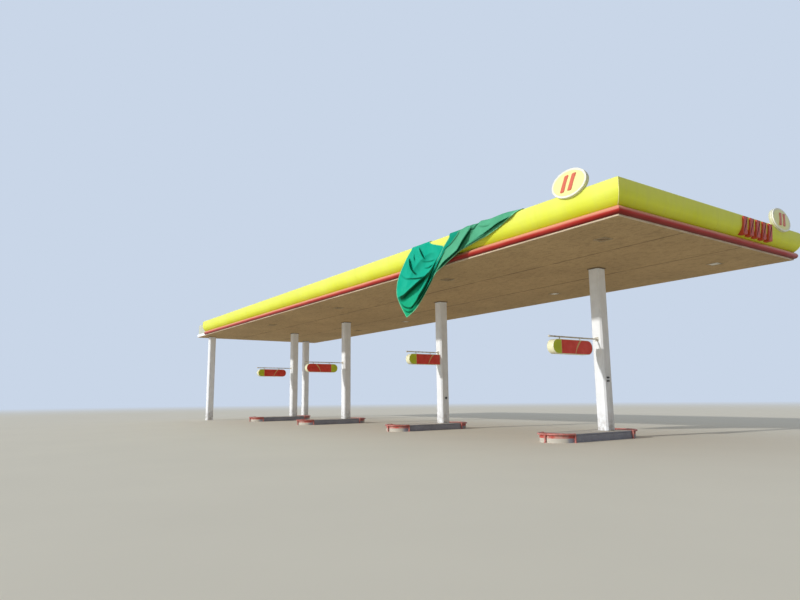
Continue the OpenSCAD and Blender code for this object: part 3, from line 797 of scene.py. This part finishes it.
def painted_steel(name, tone, rough):
    """Painted steel with a little rust and grime in small clouds."""
    material, tree = finish(name, rough)
    tone = as_colour(tone)
    return finished(material, cloudy(tree, 12.0, 5.0, (0.3, mixed(tone, "#5B4332", 0.5)),
                                     (0.55, tone)),
                    (60.0, 3.0, 1.0), strength=0.3, distance=0.001)


def acrylic(name, tone, rough, dirt=0.15):
    """Formed acrylic of one colour: smooth and glossy under a thin film of dust."""
    material, tree = finish(name, rough)
    tone = as_colour(tone)
    return finished(material, cloudy(tree, 5.0, 4.0, (0.3, mixed(tone, "#8C8468", dirt)),
                                     (0.65, tone)))


def opal_panel(name, tone):
    """Opal acrylic of a light fitting, or one dulled by dust."""
    material, tree = finish(name, 0.7, 0.15)
    return finished(material, cloudy(tree, 14.0, 4.0, (0.3, shade(tone, 0.8)), (0.6, tone)))


def sign_acrylic(colours):
    """Printed acrylic of a hanging sign. The first UV runs in metres from the lime end and the
    second up from the middle: lime to 0.39 m, a thin pale line, red, and a pale stripe whose
    place is 1.15 plus 0.62 times the height plus 0.9 times its square, wider towards its top."""
    material, tree = finish("printed_acrylic", 0.36, 0.3)
    uv = put(tree, "SeparateXYZ", [put(tree, "UVMap")])
    far, high = uv.outputs["X"], uv.outputs["Y"]
    red = cloudy(tree, 4.0, 4.0, (0.3, shade(colours.sign_red, 0.84)),
                 (0.7, mixed(colours.sign_red, (0.8, 0.45, 0.4), 0.12)))
    lime = cloudy(tree, 4.0, 4.0, (0.3, shade(colours.sign_lime, 0.85)),
                  (0.7, colours.sign_lime), seed=2.0)
    slope = put(tree, "Math", [high, 0.9, 0.62], operation="MULTIPLY_ADD")
    curve = put(tree, "Math", [high, slope, 1.15], operation="MULTIPLY_ADD")
    off = put(tree, "Math", [far, curve], operation="SUBTRACT")
    off = put(tree, "Math", [off], operation="ABSOLUTE")
    wide = put(tree, "Math", [high, 0.07, 0.026], operation="MULTIPLY_ADD")
    stripe = put(tree, "Math", [off, wide], operation="LESS_THAN")
    before = put(tree, "Math", [far, 0.39], operation="LESS_THAN")
    edge = put(tree, "Math", [far, 0.395, 0.012], operation="COMPARE")
    colour = layered(tree, red, lime, before)
    for share in (stripe, edge):
        colour = layered(tree, colour, "#DDBE7C", share)
    return finished(material, colour)


def woven_cloth(name, tone):
    """Thin dyed cotton, plain woven: matt and soft, worn a little paler in patches, greener and a
    little darker towards its tip, with a painted highlight along its hems and painted shade in
    deep green in its folds. Its threads are 0.5 mm apart, and are drawn 6 mm apart so that
    they show."""
    material, tree = finish(name, 0.9, 0.08)
    flat = put(tree, "UVMap")
    down = put(tree, "SeparateXYZ", [flat]).outputs["Y"]
    # Shares of the painted shade in the folds and of the painted highlight along the hems
    painted_fold_shade, hem_highlight = (put(tree, "Attribute", attribute_name=key).outputs["Fac"]
                   for key in ("painted_fold_shade", "hem_highlight"))
    colour = cloudy(tree, 2.4, 4.0, (0.3, shade(tone, 0.9)),
                    (0.7, mixed(tone, (0.3, 0.9, 0.7), 0.05)))
    # Greener and a little darker towards the tip, then painted shade in the folds and painted
    # highlight along the hems
    for over, share in (("#22A45A", put(tree, "MapRange", [down, 1.2, 2.35, 0.0, 0.6])),
                        ("#02442A", painted_fold_shade), ("#8CDCAC", (hem_highlight, 0.65))):
        colour = layered(tree, colour, over, share)
    # The wave's bands stand pi / 10 / scale apart
    weave = [put(tree, "TexWave", {"Vector": flat, "Scale": math.pi / 0.06, "Distortion": 0.6},
                 bands_direction=way) for way in "XY"]
    bump = put(tree, "Bump", {"Strength": 0.15, "Distance": 0.001,
                              "Height": put(tree, "Math", weave)})
    tree.links.new(bump.outputs[0], tree.nodes["Principled BSDF"].inputs["Normal"])
    return finished(material, colour)


def dress(names, material):
    """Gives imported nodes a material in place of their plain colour."""
    for name in names:
        slots = NODES[name].data.materials
        slots.clear()
        slots.append(material)


# Pieces

class CanopyStep:
    """What every step shares: it can be undone."""
    bl_options = {"REGISTER", "UNDO"}


class CANOPY_OT_fascia(CanopyStep, bpy.types.Operator):
    """Barrel of rolled sheets and half-round nose along three sides, with their corner beads"""
    bl_idname = "canopy.fascia"
    bl_label = "Fascia"

    def execute(self, context):
        sizes, colours = context.scene.canopy_sizes, context.scene.canopy_colours
        yellow, red = coated_sheet(colours), gloss_nose(colours)
        for side in ("front", "rear", "near_end"):
            shape = edge_shell(side, fascia_line, sizes.sheet_pitch, sizes.sheet_gap,
                               groove=0.004, bow=sizes.buckle, step=0.3)
            piece(f"barrel_{side}", shape, yellow, [f"fascia_{side}"])
            shape = edge_shell(side, nose_line, sizes.nose_pitch, gap=0.004, groove=0.002,
                               bow=0.0008, step=0.6)
            piece(f"nose_tube_{side}", shape, red, [f"nose_{side}"])
        bead = Shape()
        out, rise = fascia_line(sizes.bead)[1:-2].T
        for row, way in ((FRONT, -1), (REAR, 1)):
            path = np.stack([NEAR + out, row + way * out, SOFFIT + rise], -1)
            tube(bead, path, sizes.bead, (1, way, 0), 12)
        # The bead is paler than the sheet: a painted highlight along each corner of the barrel
        piece("corner_beads", bead, acrylic("corner_bead_painted_highlight", "#FBF7A6", 0.3))
        dress(["fascia_end_caps"], yellow)
        dress(["edge_trim"], painted_bar(colours))
        return {"FINISHED"}


class CANOPY_OT_deck(CanopyStep, bpy.types.Operator):
    """Plaster, slab, upstands and roof beams, and the mortar collars at the columns' heads"""
    bl_idname = "canopy.deck"
    bl_label = "Deck"

    def execute(self, context):
        out, colours = context.scene.canopy_sizes.collar, context.scene.canopy_colours
        dress(["plaster_front", "plaster_middle", "plaster_rear"], stippled_plaster(colours))
        dress(["deck_slab"], slab_finish(colours))
        dress(["upstand_front", "upstand_rear", "upstand_near_end", "upstand_far_end"],
              masonry_paint(colours, "masonry_paint_grey", colours.render))
        dress(["spine_beam", "roof_ribs"], cast_concrete("cast_concrete", colours.concrete))
        layers = [(0.0, -0.036), (out * 0.5, -0.026), (out, -0.01), (out * 1.15, 0.0)]
        corner, uneven = 0.06, 0.03
        shape = Shape()
        for name in COLUMNS:
            mid, size, *_ = box_of(name)
            points, normals = rounded(size.x, size.x, corner, 8)
            ragged = 1 + uneven * np.sin(np.arange(len(points)) * 1.9 + mid.x)[:, None]
            stack(shape, (points * ragged, normals), layers, (mid.x, mid.y, SOFFIT), LYING)
        # The collars are darker than the concrete: painted shade where each column meets the
        # soffit
        piece("mortar_collars", shape, cast_concrete("mortar_darkened_as_painted_shade", "#7A6A55"))
        return {"FINISHED"}


class CANOPY_OT_columns(CanopyStep, bpy.types.Operator):
    """Finish of the six columns, with the switch boxes and the socket on two of them"""
    bl_idname = "canopy.columns"
    bl_label = "Columns"

    def execute(self, context):
        dress(COLUMNS, masonry_paint(context.scene.canopy_colours))
        mid, _, _, high = box_of("column_1")
        shape = Shape()
        box_wide, box_high, socket, socket_rise = 0.11, 0.055, 0.05, 1.355
        # Two boxes with a sunk front, one over the other, and a round socket with a deep one
        for rise in (1.98, 1.87):
            stack(shape, rounded(box_wide, box_high, 0.008, 4),
                  [(0, 0), (0, 0.024), (-0.003, 0.03), (-0.016, 0.03), (-0.018, 0.026)],
                  (high.x, mid.y - 0.035, rise), STANDING)
        stack(shape, oval(socket, socket, 28),
              [(0, 0), (0, 0.03), (-0.004, 0.036), (-0.017, 0.036), (-0.019, 0.012)],
              (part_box("column_2")[1].x, mid.y + 0.01, socket_rise), STANDING)
        piece("switch_boxes", shape, acrylic("moulded_box_dark", "#3B3D40", 0.45))
        return {"FINISHED"}


class CANOPY_OT_islands(CanopyStep, bpy.types.Operator):
    """Kerbed islands with worn edges, and the pipe guards round their ends"""
    bl_idname = "canopy.islands"
    bl_label = "Islands"

    def execute(self, context):
        sizes, colours = context.scene.canopy_sizes, context.scene.canopy_colours
        kerb, paint = kerb_paint(colours), pipe_paint(colours)
        worn, plaster, groove, flat = sizes.kerb_round, 0.006, 0.026, 0.14
        for i in ROW:
            mid, size, low, _ = box_of(f"island_{i}")
            under = size.z - sizes.coping
            # The plastered side, the groove, the coping, its worn edge and the level top
            layers = [(-plaster, 0.0), (-plaster, under - 0.01), (-groove, under - 0.008),
                      (-groove, under), (0.0, under + 0.002), (0.0, size.z - worn)]
            layers += [(-worn * (1 - math.cos(a)), size.z - worn + worn * math.sin(a))
                       for a in np.linspace(0.3, math.pi / 2, 5)]
            layers += [(-flat, size.z), (-flat - 0.005, size.z - 0.006)]
            outline = rounded(size.x, size.y, size.x / 2 - 0.001, 20)
            piece(f"kerb_island_{i}",
                  stack(Shape(), outline, layers, (mid.x, mid.y, low.z), LYING),
                  kerb, [f"island_{i}"])
            guard = Shape()
            for end in (-1, 1):
                self.half_ring(guard, mid.x, end, *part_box(f"guard_{i}"), sizes.pipe / 2)
            piece(f"pipe_guard_{i}", guard, paint, [f"guard_{i}"])
        return {"FINISHED"}

    def half_ring(self, shape, x, end, low, high, thick):
        """Adds the pipe round one end of an island, with its closed ends and three legs."""
        ring, top = (high.x - low.x) / 2 - thick, high.z - thick
        y = low.y + thick + ring if end < 0 else high.y - thick - ring
        steps, plate = 40, 0.045
        a = np.linspace(0, math.pi, steps + 1)
        path = np.stack([x + ring * np.cos(a), y + end * ring * np.sin(a),
                         np.full(len(a), top)], -1)
        tube(shape, path, thick, (0, 0, 1))
        for at_x, at_y, _ in path[[0, steps // 2, steps]]:
            tube(shape, [(at_x, at_y, z) for z in (0.006, 0.1, top)], thick * 0.96, (1, 0, 0))
            stack(shape, oval(plate, plate, 20), [(0, 0), (0, 0.006), (-0.003, 0.008)],
                  (at_x, at_y, 0), LYING)
        for at_x in (x + ring, x - ring):
            stack(shape, oval(thick, thick, 20), [(0, 0), (-0.006, 0.006), (-0.018, 0.012)],
                  (at_x, y, top), ((1, 0, 0), (0, 0, 1), (0, -end, 0)))


class CANOPY_OT_signs(CanopyStep, bpy.types.Operator):
    """Hanging signs with raised rims and printed faces, and the tubes that carry them"""
    bl_idname = "canopy.signs"
    bl_label = "Hanging signs"

    def execute(self, context):
        colours = context.scene.canopy_colours
        print_face = sign_acrylic(colours)
        rim = acrylic("opal_rim", colours.sign_pale, 0.35, 0.08)
        for i in ROW:
            mid, size, low, high = box_of(f"column_sign_{i}")
            r = size.z / 2 - 0.001
            right = 0.012 if i == "2" else r
            lip = [(-0.015, 0.006), (-0.012, 0.0), (-0.004, 0.0), (0.0, 0.006)]
            layers = lip + [(grow, size.x - rise) for grow, rise in reversed(lip)]
            shape = stack(Shape(), rounded(size.y, size.z, [right, r, r, right], 14), layers,
                          (low.x, mid.y, mid.z), STANDING, [1] * 7 + [0, 0])
            # Sign 3 has its lime end on the other side
            start, turn = (high.y, -1) if i == "3" else (low.y, 1)
            y, z = shape.points[0][:, 1:].T
            shape.uv = [np.stack([turn * (y - start), z - mid.z], -1)]
            piece(f"hanging_sign_{i}", shape, [print_face, rim],
                  [f"column_sign_{i}"], uv=True)
        dress([f"sign_bracket_{i}" for i in ROW],
              painted_steel("painted_steel", colours.steel, 0.5))
        return {"FINISHED"}


class CANOPY_OT_ovals(CanopyStep, bpy.types.Operator):
    """Two oval light boxes that stand on the barrel, with pale faces and plain marks"""
    bl_idname = "canopy.ovals"
    bl_label = "Oval signs"

    def execute(self, context):
        materials = [acrylic("opal_face", "#F8F6A6", 0.3, 0.06),
                     acrylic("opal_oval_rim", "#F6F5E6", 0.35, 0.06),
                     acrylic("oval_side", "#D8D6B4", 0.4, 0.25),
                     acrylic("oval_mark", "#DC6A50", 0.35, 0.05)]
        half_w, half_h, thick, stand, lean = 0.565, 0.39, 0.15, 0.30, math.radians(6)
        mark_wide, mark_high, mark_off, slope = 0.13, 0.44, 0.12, 0.35
        foot_wide, foot_deep, foot_set, dome = 0.52, 0.305, 0.2275, 0.024
        # The back, the two rims with the groove between them, the lip and the domed face
        layers = [(-0.06, -thick), (-0.034, -thick + 0.003), (-0.016, -thick + 0.014),
                  (-0.009, -thick + 0.034), (-0.009, -0.076), (0.0, -0.072), (0.0, -0.054),
                  (-0.012, -0.05), (-0.012, -0.036), (0.0, -0.032), (0.0, -0.008),
                  (-0.006, 0.0), (-0.03, 0.0), (-0.034, -0.007), (-0.05, -0.009),
                  (-0.054, -0.004)]
        layers += [(-0.054, -0.004 + dome * (1 - s * s), s)
                   for s in (0.98, 0.8, 0.6, 0.4, 0.2, 0.06)]
        slots = [2] * 4 + [1] * 2 + [2] * 3 + [1] * 6 + [0] * 6 + [2, 0]
        mark, normals = rounded(mark_wide, mark_high, 0.03, 6)
        slant = np.stack([mark[:, 0] + slope * mark[:, 1], mark[:, 1]], -1)
        for name, out, across in (("front", Vector((0, -1, 0)), (1, 0, 0)),
                                  ("near_end", Vector((1, 0, 0)), (0, 1, 0))):
            mid, _, _, high = box_of(f"oval_sign_{name}")
            # The face leans back: its normal tips up and its upward edge goes inwards
            face_n = out * math.cos(lean) + Vector((0, 0, math.sin(lean)))
            face_up = Vector((0, 0, math.cos(lean))) - out * math.sin(lean)
            mid.z = high.z - half_h * math.cos(lean)
            if name == "front":
                mid.y = FRONT - stand
            else:
                mid.x = NEAR + stand
            turned = (across, face_up, face_n)
            shape = stack(Shape(), oval(half_w, half_h), layers, mid, turned, slots)
            for off in (-mark_off, mark_off):
                stack(shape, (slant + [off, 0], normals),
                      [(0, -0.004), (0, 0.022), (-0.008, 0.028)], mid, turned, [3] * 4)
            foot = Vector((mid.x, mid.y, SOFFIT + FASCIA_TOP)) - out * foot_set
            stack(shape, rounded(foot_wide, foot_deep, 0.02, 5),
                  [(-0.004, -0.003), (0, 0.001), (0, 0.11), (-0.01, 0.12)], foot,
                  (across, out, (0, 0, 1)), [2] * 5)
            piece(f"oval_box_{name}", shape, materials, [f"oval_sign_{name}"])
        return {"FINISHED"}


class CANOPY_OT_bars(CanopyStep, bpy.types.Operator):
    """Five plain slanted bars of formed acrylic on the near end's fascia"""
    bl_idname = "canopy.bars"
    bl_label = "Raised bars"

    def execute(self, context):
        mid, size, low, high = box_of("raised_bars")
        count, pitch, wide, slant = 5, 0.38, 0.23, 0.11
        bar, normals = rounded(wide, size.z, 0.012, 5)
        lean = np.stack([bar[:, 0] + slant * bar[:, 1] / size.z, bar[:, 1]], -1)
        shape = Shape()
        for i in range(count):
            mid_y = low.y + wide / 2 + slant / 2 + i * pitch
            stack(shape, (lean, normals),
                  [(-0.004, -0.2), (-0.004, -0.02), (0, -0.016), (-0.004, -0.006),
                   (-0.014, 0.0), (-0.03, 0.0), (-0.034, -0.003)],
                  (high.x, mid_y, mid.z), STANDING)
        bars = acrylic("formed_acrylic_red", context.scene.canopy_colours.bars, 0.4, 0.12)
        piece("slanted_bars", shape, bars, ["raised_bars"])
        return {"FINISHED"}


class CANOPY_OT_lights(CanopyStep, bpy.types.Operator):
    """Eight square fittings with a lip and a sunk panel, some clean and some dulled by dust"""
    bl_idname = "canopy.lights"
    bl_label = "Soffit lights"

    def execute(self, context):
        materials = [painted_steel("white_enamel_steel", "#B4A282", 0.8),
                     opal_panel("opal_acrylic_clean", "#FFFDF4"),
                     opal_panel("opal_acrylic_dusty", "#A48C6B")]
        lip, deep = context.scene.canopy_sizes.frame_lip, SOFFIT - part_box("soffit_lights")[0].z
        # The frame's side, its lip and the sunk panel
        layers = [(-0.004, 0.004), (0, 0), (0, -deep * 0.6), (-0.005, -deep), (-lip, -deep),
                  (-lip - 0.008, -deep * 0.45), (-lip - 0.012, -deep * 0.4)]
        front_y, rear_y, wide, clean, dusty = FRONT + 1.55, REAR - 1.69, 0.4, 1, 2
        shape = Shape()
        for u, y, panel in ((1.62, front_y, dusty), (8.50, front_y, dusty),
                            (16.85, front_y, dusty), (24.85, front_y, dusty),
                            (1.65, rear_y, clean), (8.55, rear_y, clean),
                            (19.60, rear_y, clean), (25.00, rear_y, dusty)):
            stack(shape, rounded(wide, wide, 0.012, 4), layers, (NEAR - u, y, SOFFIT),
                  LYING, [0] * 7 + [panel])
        piece("square_fittings", shape, materials, ["soffit_lights"])
        return {"FINISHED"}


class CANOPY_OT_cloth(CanopyStep, bpy.types.Operator):
    """The green cloth that hangs over the front edge: a lobe, and a gathered band over it"""
    bl_idname = "canopy.cloth"
    bl_label = "Draped cloth"

    def execute(self, context):
        colours = context.scene.canopy_colours
        shape = Shape()
        places, hem_highlight = between_edges(LOBE_EDGES, *LOBE_GRID)
        lobe, painted_fold_shade = folded(places, LOBE_FOLDS)
        shape.add(hang(places, lobe + ripple(places)), quads(*LOBE_GRID)[:, ::-1], uv=places)
        places, band_hem_highlight = between_edges(BAND_EDGES, *BAND_GRID)
        u, fall = places.T
        # The band lies on the lobe where both are, and comes down to the sheet at its tip
        lobe_from, over, tip, rise_over, clear = 6.3, 0.4, 2.9, 0.6, 0.03
        under = folded(places, LOBE_FOLDS)[0] + ripple(places)
        band, band_painted_fold_shade = folded(places, BAND_FOLDS)
        band = np.maximum(band + ripple(places), under * np.clip((u - lobe_from) / over, 0, 1))
        band = (band + clear) * np.clip((u - tip) / rise_over, 0.1, 1)
        # Its right side gets a little painted shade; its tail's left edge gets no painted
        # highlight
        right_side_painted_shade, tail_from = 0.3, 0.7
        band_painted_fold_shade = np.maximum(band_painted_fold_shade,
                                 right_side_painted_shade * (beside(places, REVERSE_EDGE)[1] < 0))
        first_half = np.arange(len(places)) % BAND_GRID[1] < BAND_GRID[1] / 2
        band_hem_highlight[(fall > tail_from) & first_half] = 0
        faces = quads(*BAND_GRID)[:, ::-1]
        right = beside(places[faces].mean(axis=1), REVERSE_EDGE)[1] < 0
        shape.add(hang(places, band), faces[right], faces[~right], slots=[0, 1], uv=places)
        cloth = piece("green_cloth", shape,
                      [woven_cloth("dyed_cotton_green", colours.cloth),
                       woven_cloth("dyed_cotton_green_reverse", colours.cloth_back)],
                      ["draped_cloth"], sharp=180.0, uv=True, closed=False)
        # The painted shade in the folds and the painted highlight along the hems, as point
        # attributes
        for name, values in (("painted_fold_shade", [painted_fold_shade, band_painted_fold_shade]), ("hem_highlight", [hem_highlight, band_hem_highlight])):
            layer = cloth.data.attributes.new(name, "FLOAT", "POINT")
            layer.data.foreach_set("value", np.concatenate(values))
        thick = cloth.modifiers.new("thickness", "SOLIDIFY")
        thick.thickness, thick.offset = context.scene.canopy_sizes.cloth_thick, 0.0
        return {"FINISHED"}


def sight_rays(tree):
    """1 for a ray that comes from the camera or from a glossy or clear surface, or else 0."""
    seen = put(tree, "LightPath").outputs
    first = put(tree, "Math", [seen["Is Camera Ray"], seen["Is Glossy Ray"]],
                operation="MAXIMUM")
    return put(tree, "Math", [first, seen["Is Transmission Ray"]], operation="MAXIMUM")


class CANOPY_OT_stage(CanopyStep, bpy.types.Operator):
    """Plain floor, soft studio light, backdrop and the photograph's camera"""
    bl_idname = "canopy.stage"
    bl_label = "Stage"

    def execute(self, context):
        scene = context.scene
        scene.view_settings.view_transform = "Standard"
        self.floor(scene, scene.canopy_colours)
        self.light(scene, scene.canopy_colours.backdrop)
        self.camera(scene)
        return {"FINISHED"}

    def floor(self, scene, colours):
        """A disc: rings of points at growing distances, the floor's colour near the canopy
        and the backdrop's colour far out, so that no horizon shows."""
        edge, fade_from, fade_to = 900, 34.0, 120.0
        r = np.concatenate([[0.0], np.geomspace(2, edge, 40)])[:, None]
        t = np.linspace(0, 2 * math.pi, 96, endpoint=False)[None, :]
        grid = np.stack([r * np.cos(t), r * np.sin(t), 0 * r * t], -1)
        mesh = bpy.data.meshes.new("floor")
        mesh.from_pydata(grid.reshape(-1, 3).tolist(), [],
                         quads(len(r), t.size, wrap=True).tolist())
        material, tree = finish("plain_floor", 0.85)
        finished(material, cloudy(tree, 0.35, 4.0, (0.3, shade(colours.floor, 0.97)),
                                  (0.7, colours.floor)))
        far = put(tree, "VectorMath", [put(tree, "TexCoord").outputs["Object"]],
                  operation="LENGTH")
        share = put(tree, "MapRange", [far.outputs["Value"], fade_from, fade_to],
                    interpolation_type="SMOOTHSTEP")
        count = put(tree, "Math", [share, sight_rays(tree)], operation="MULTIPLY")
        glow = put(tree, "Emission", {"Color": colours.backdrop, "Strength": 1.0})
        both = put(tree, "MixShader", [count, tree.nodes["Principled BSDF"], glow])
        tree.links.new(both.outputs[0], tree.nodes["Material Output"].inputs["Surface"])
        mesh.materials.append(material)
        item = bpy.data.objects.new("floor", mesh)
        scene.collection.objects.link(item)

    def light(self, scene, backdrop):
        """One key from the front, low as in the photograph, and a soft sky that is weaker
        towards the near end and the back. The camera and glossy surfaces see the backdrop's
        colour."""
        scene.world = bpy.data.worlds.new("studio")
        scene.world.use_nodes = True
        tree = scene.world.node_tree
        even = tree.nodes["Background"]
        even.inputs["Color"].default_value = linear("#E9F0FA")
        strength, less_near, less_back = 0.52, -0.23, -0.24
        way = put(tree, "SeparateXYZ", [put(tree, "TexCoord").outputs["Generated"]]).outputs
        side = put(tree, "Math", [way["X"], less_near, strength], operation="MULTIPLY_ADD")
        fall = put(tree, "Math", [way["Y"], less_back, side], operation="MULTIPLY_ADD")
        tree.links.new(fall.outputs[0], even.inputs["Strength"])
        plain = put(tree, "Background", {"Color": backdrop, "Strength": 1.0})
        both = put(tree, "MixShader", [sight_rays(tree), even, plain])
        tree.links.new(both.outputs[0], tree.nodes["World Output"].inputs["Surface"])
        sun = bpy.data.lights.new("key", "SUN")
        sun.energy, sun.angle, sun.color = 2.3, math.radians(2), linear("#FFFDF8")[:3]
        lamp = bpy.data.objects.new("key", sun)
        towards = Vector((-0.137, -0.923, 0.359))
        lamp.rotation_mode = "QUATERNION"
        lamp.rotation_quaternion = towards.to_track_quat("Z", "Y")
        scene.collection.objects.link(lamp)

    def camera(self, scene):
        """The camera's axes from its yaw, pitch and roll."""
        cy, sy = math.cos(CAMERA_YAW), math.sin(CAMERA_YAW)
        cp, sp = math.cos(CAMERA_PITCH), math.sin(CAMERA_PITCH)
        ahead = Vector((-cy * cp, sy * cp, sp))
        right = Vector((sy, cy, 0))
        up = Vector((cy * sp, -sy * sp, cp))
        cr, sr = math.cos(CAMERA_ROLL), math.sin(CAMERA_ROLL)
        right, up = right * cr + up * sr, up * cr - right * sr
        lens = bpy.data.cameras.new("camera")
        lens.lens, lens.sensor_width, lens.clip_end = CAMERA_LENS, 36, 2000
        item = bpy.data.objects.new("camera", lens)
        item.matrix_world = Matrix((right, up, -ahead)).transposed().to_4x4()
        item.location = CAMERA_AT
        scene.collection.objects.link(item)
        scene.camera = item


class CANOPY_PT_panel(bpy.types.Panel):
    """Sizes, colours and the steps that build the canopy's looks"""
    bl_idname = "CANOPY_PT_panel"
    bl_label = "Canopy"
    bl_space_type = "VIEW_3D"
    bl_region_type = "UI"
    bl_category = "Canopy"

    def draw(self, context):
        for step in STEPS:
            self.layout.operator(step.bl_idname)
        for group in (context.scene.canopy_sizes, context.scene.canopy_colours):
            for key in group.bl_rna.properties.keys():
                if key not in {"rna_type", "name"}:
                    self.layout.prop(group, key)


STEPS = (CANOPY_OT_fascia, CANOPY_OT_deck, CANOPY_OT_columns, CANOPY_OT_islands,
         CANOPY_OT_signs, CANOPY_OT_ovals, CANOPY_OT_bars, CANOPY_OT_lights, CANOPY_OT_cloth,
         CANOPY_OT_stage)
CLASSES = (CanopySizes, CanopyColours) + STEPS + (CANOPY_PT_panel,)


def register():
    for item in CLASSES:
        bpy.utils.register_class(item)
    bpy.types.Scene.canopy_sizes = PointerProperty(type=CanopySizes)
    bpy.types.Scene.canopy_colours = PointerProperty(type=CanopyColours)


def unregister():
    del bpy.types.Scene.canopy_colours
    del bpy.types.Scene.canopy_sizes
    for item in reversed(CLASSES):
        bpy.utils.unregister_class(item)


def main():
    register()
    for step in STEPS:
        group, name = step.bl_idname.split(".")
        getattr(getattr(bpy.ops, group), name)()


if __name__ == "__main__":
    main()
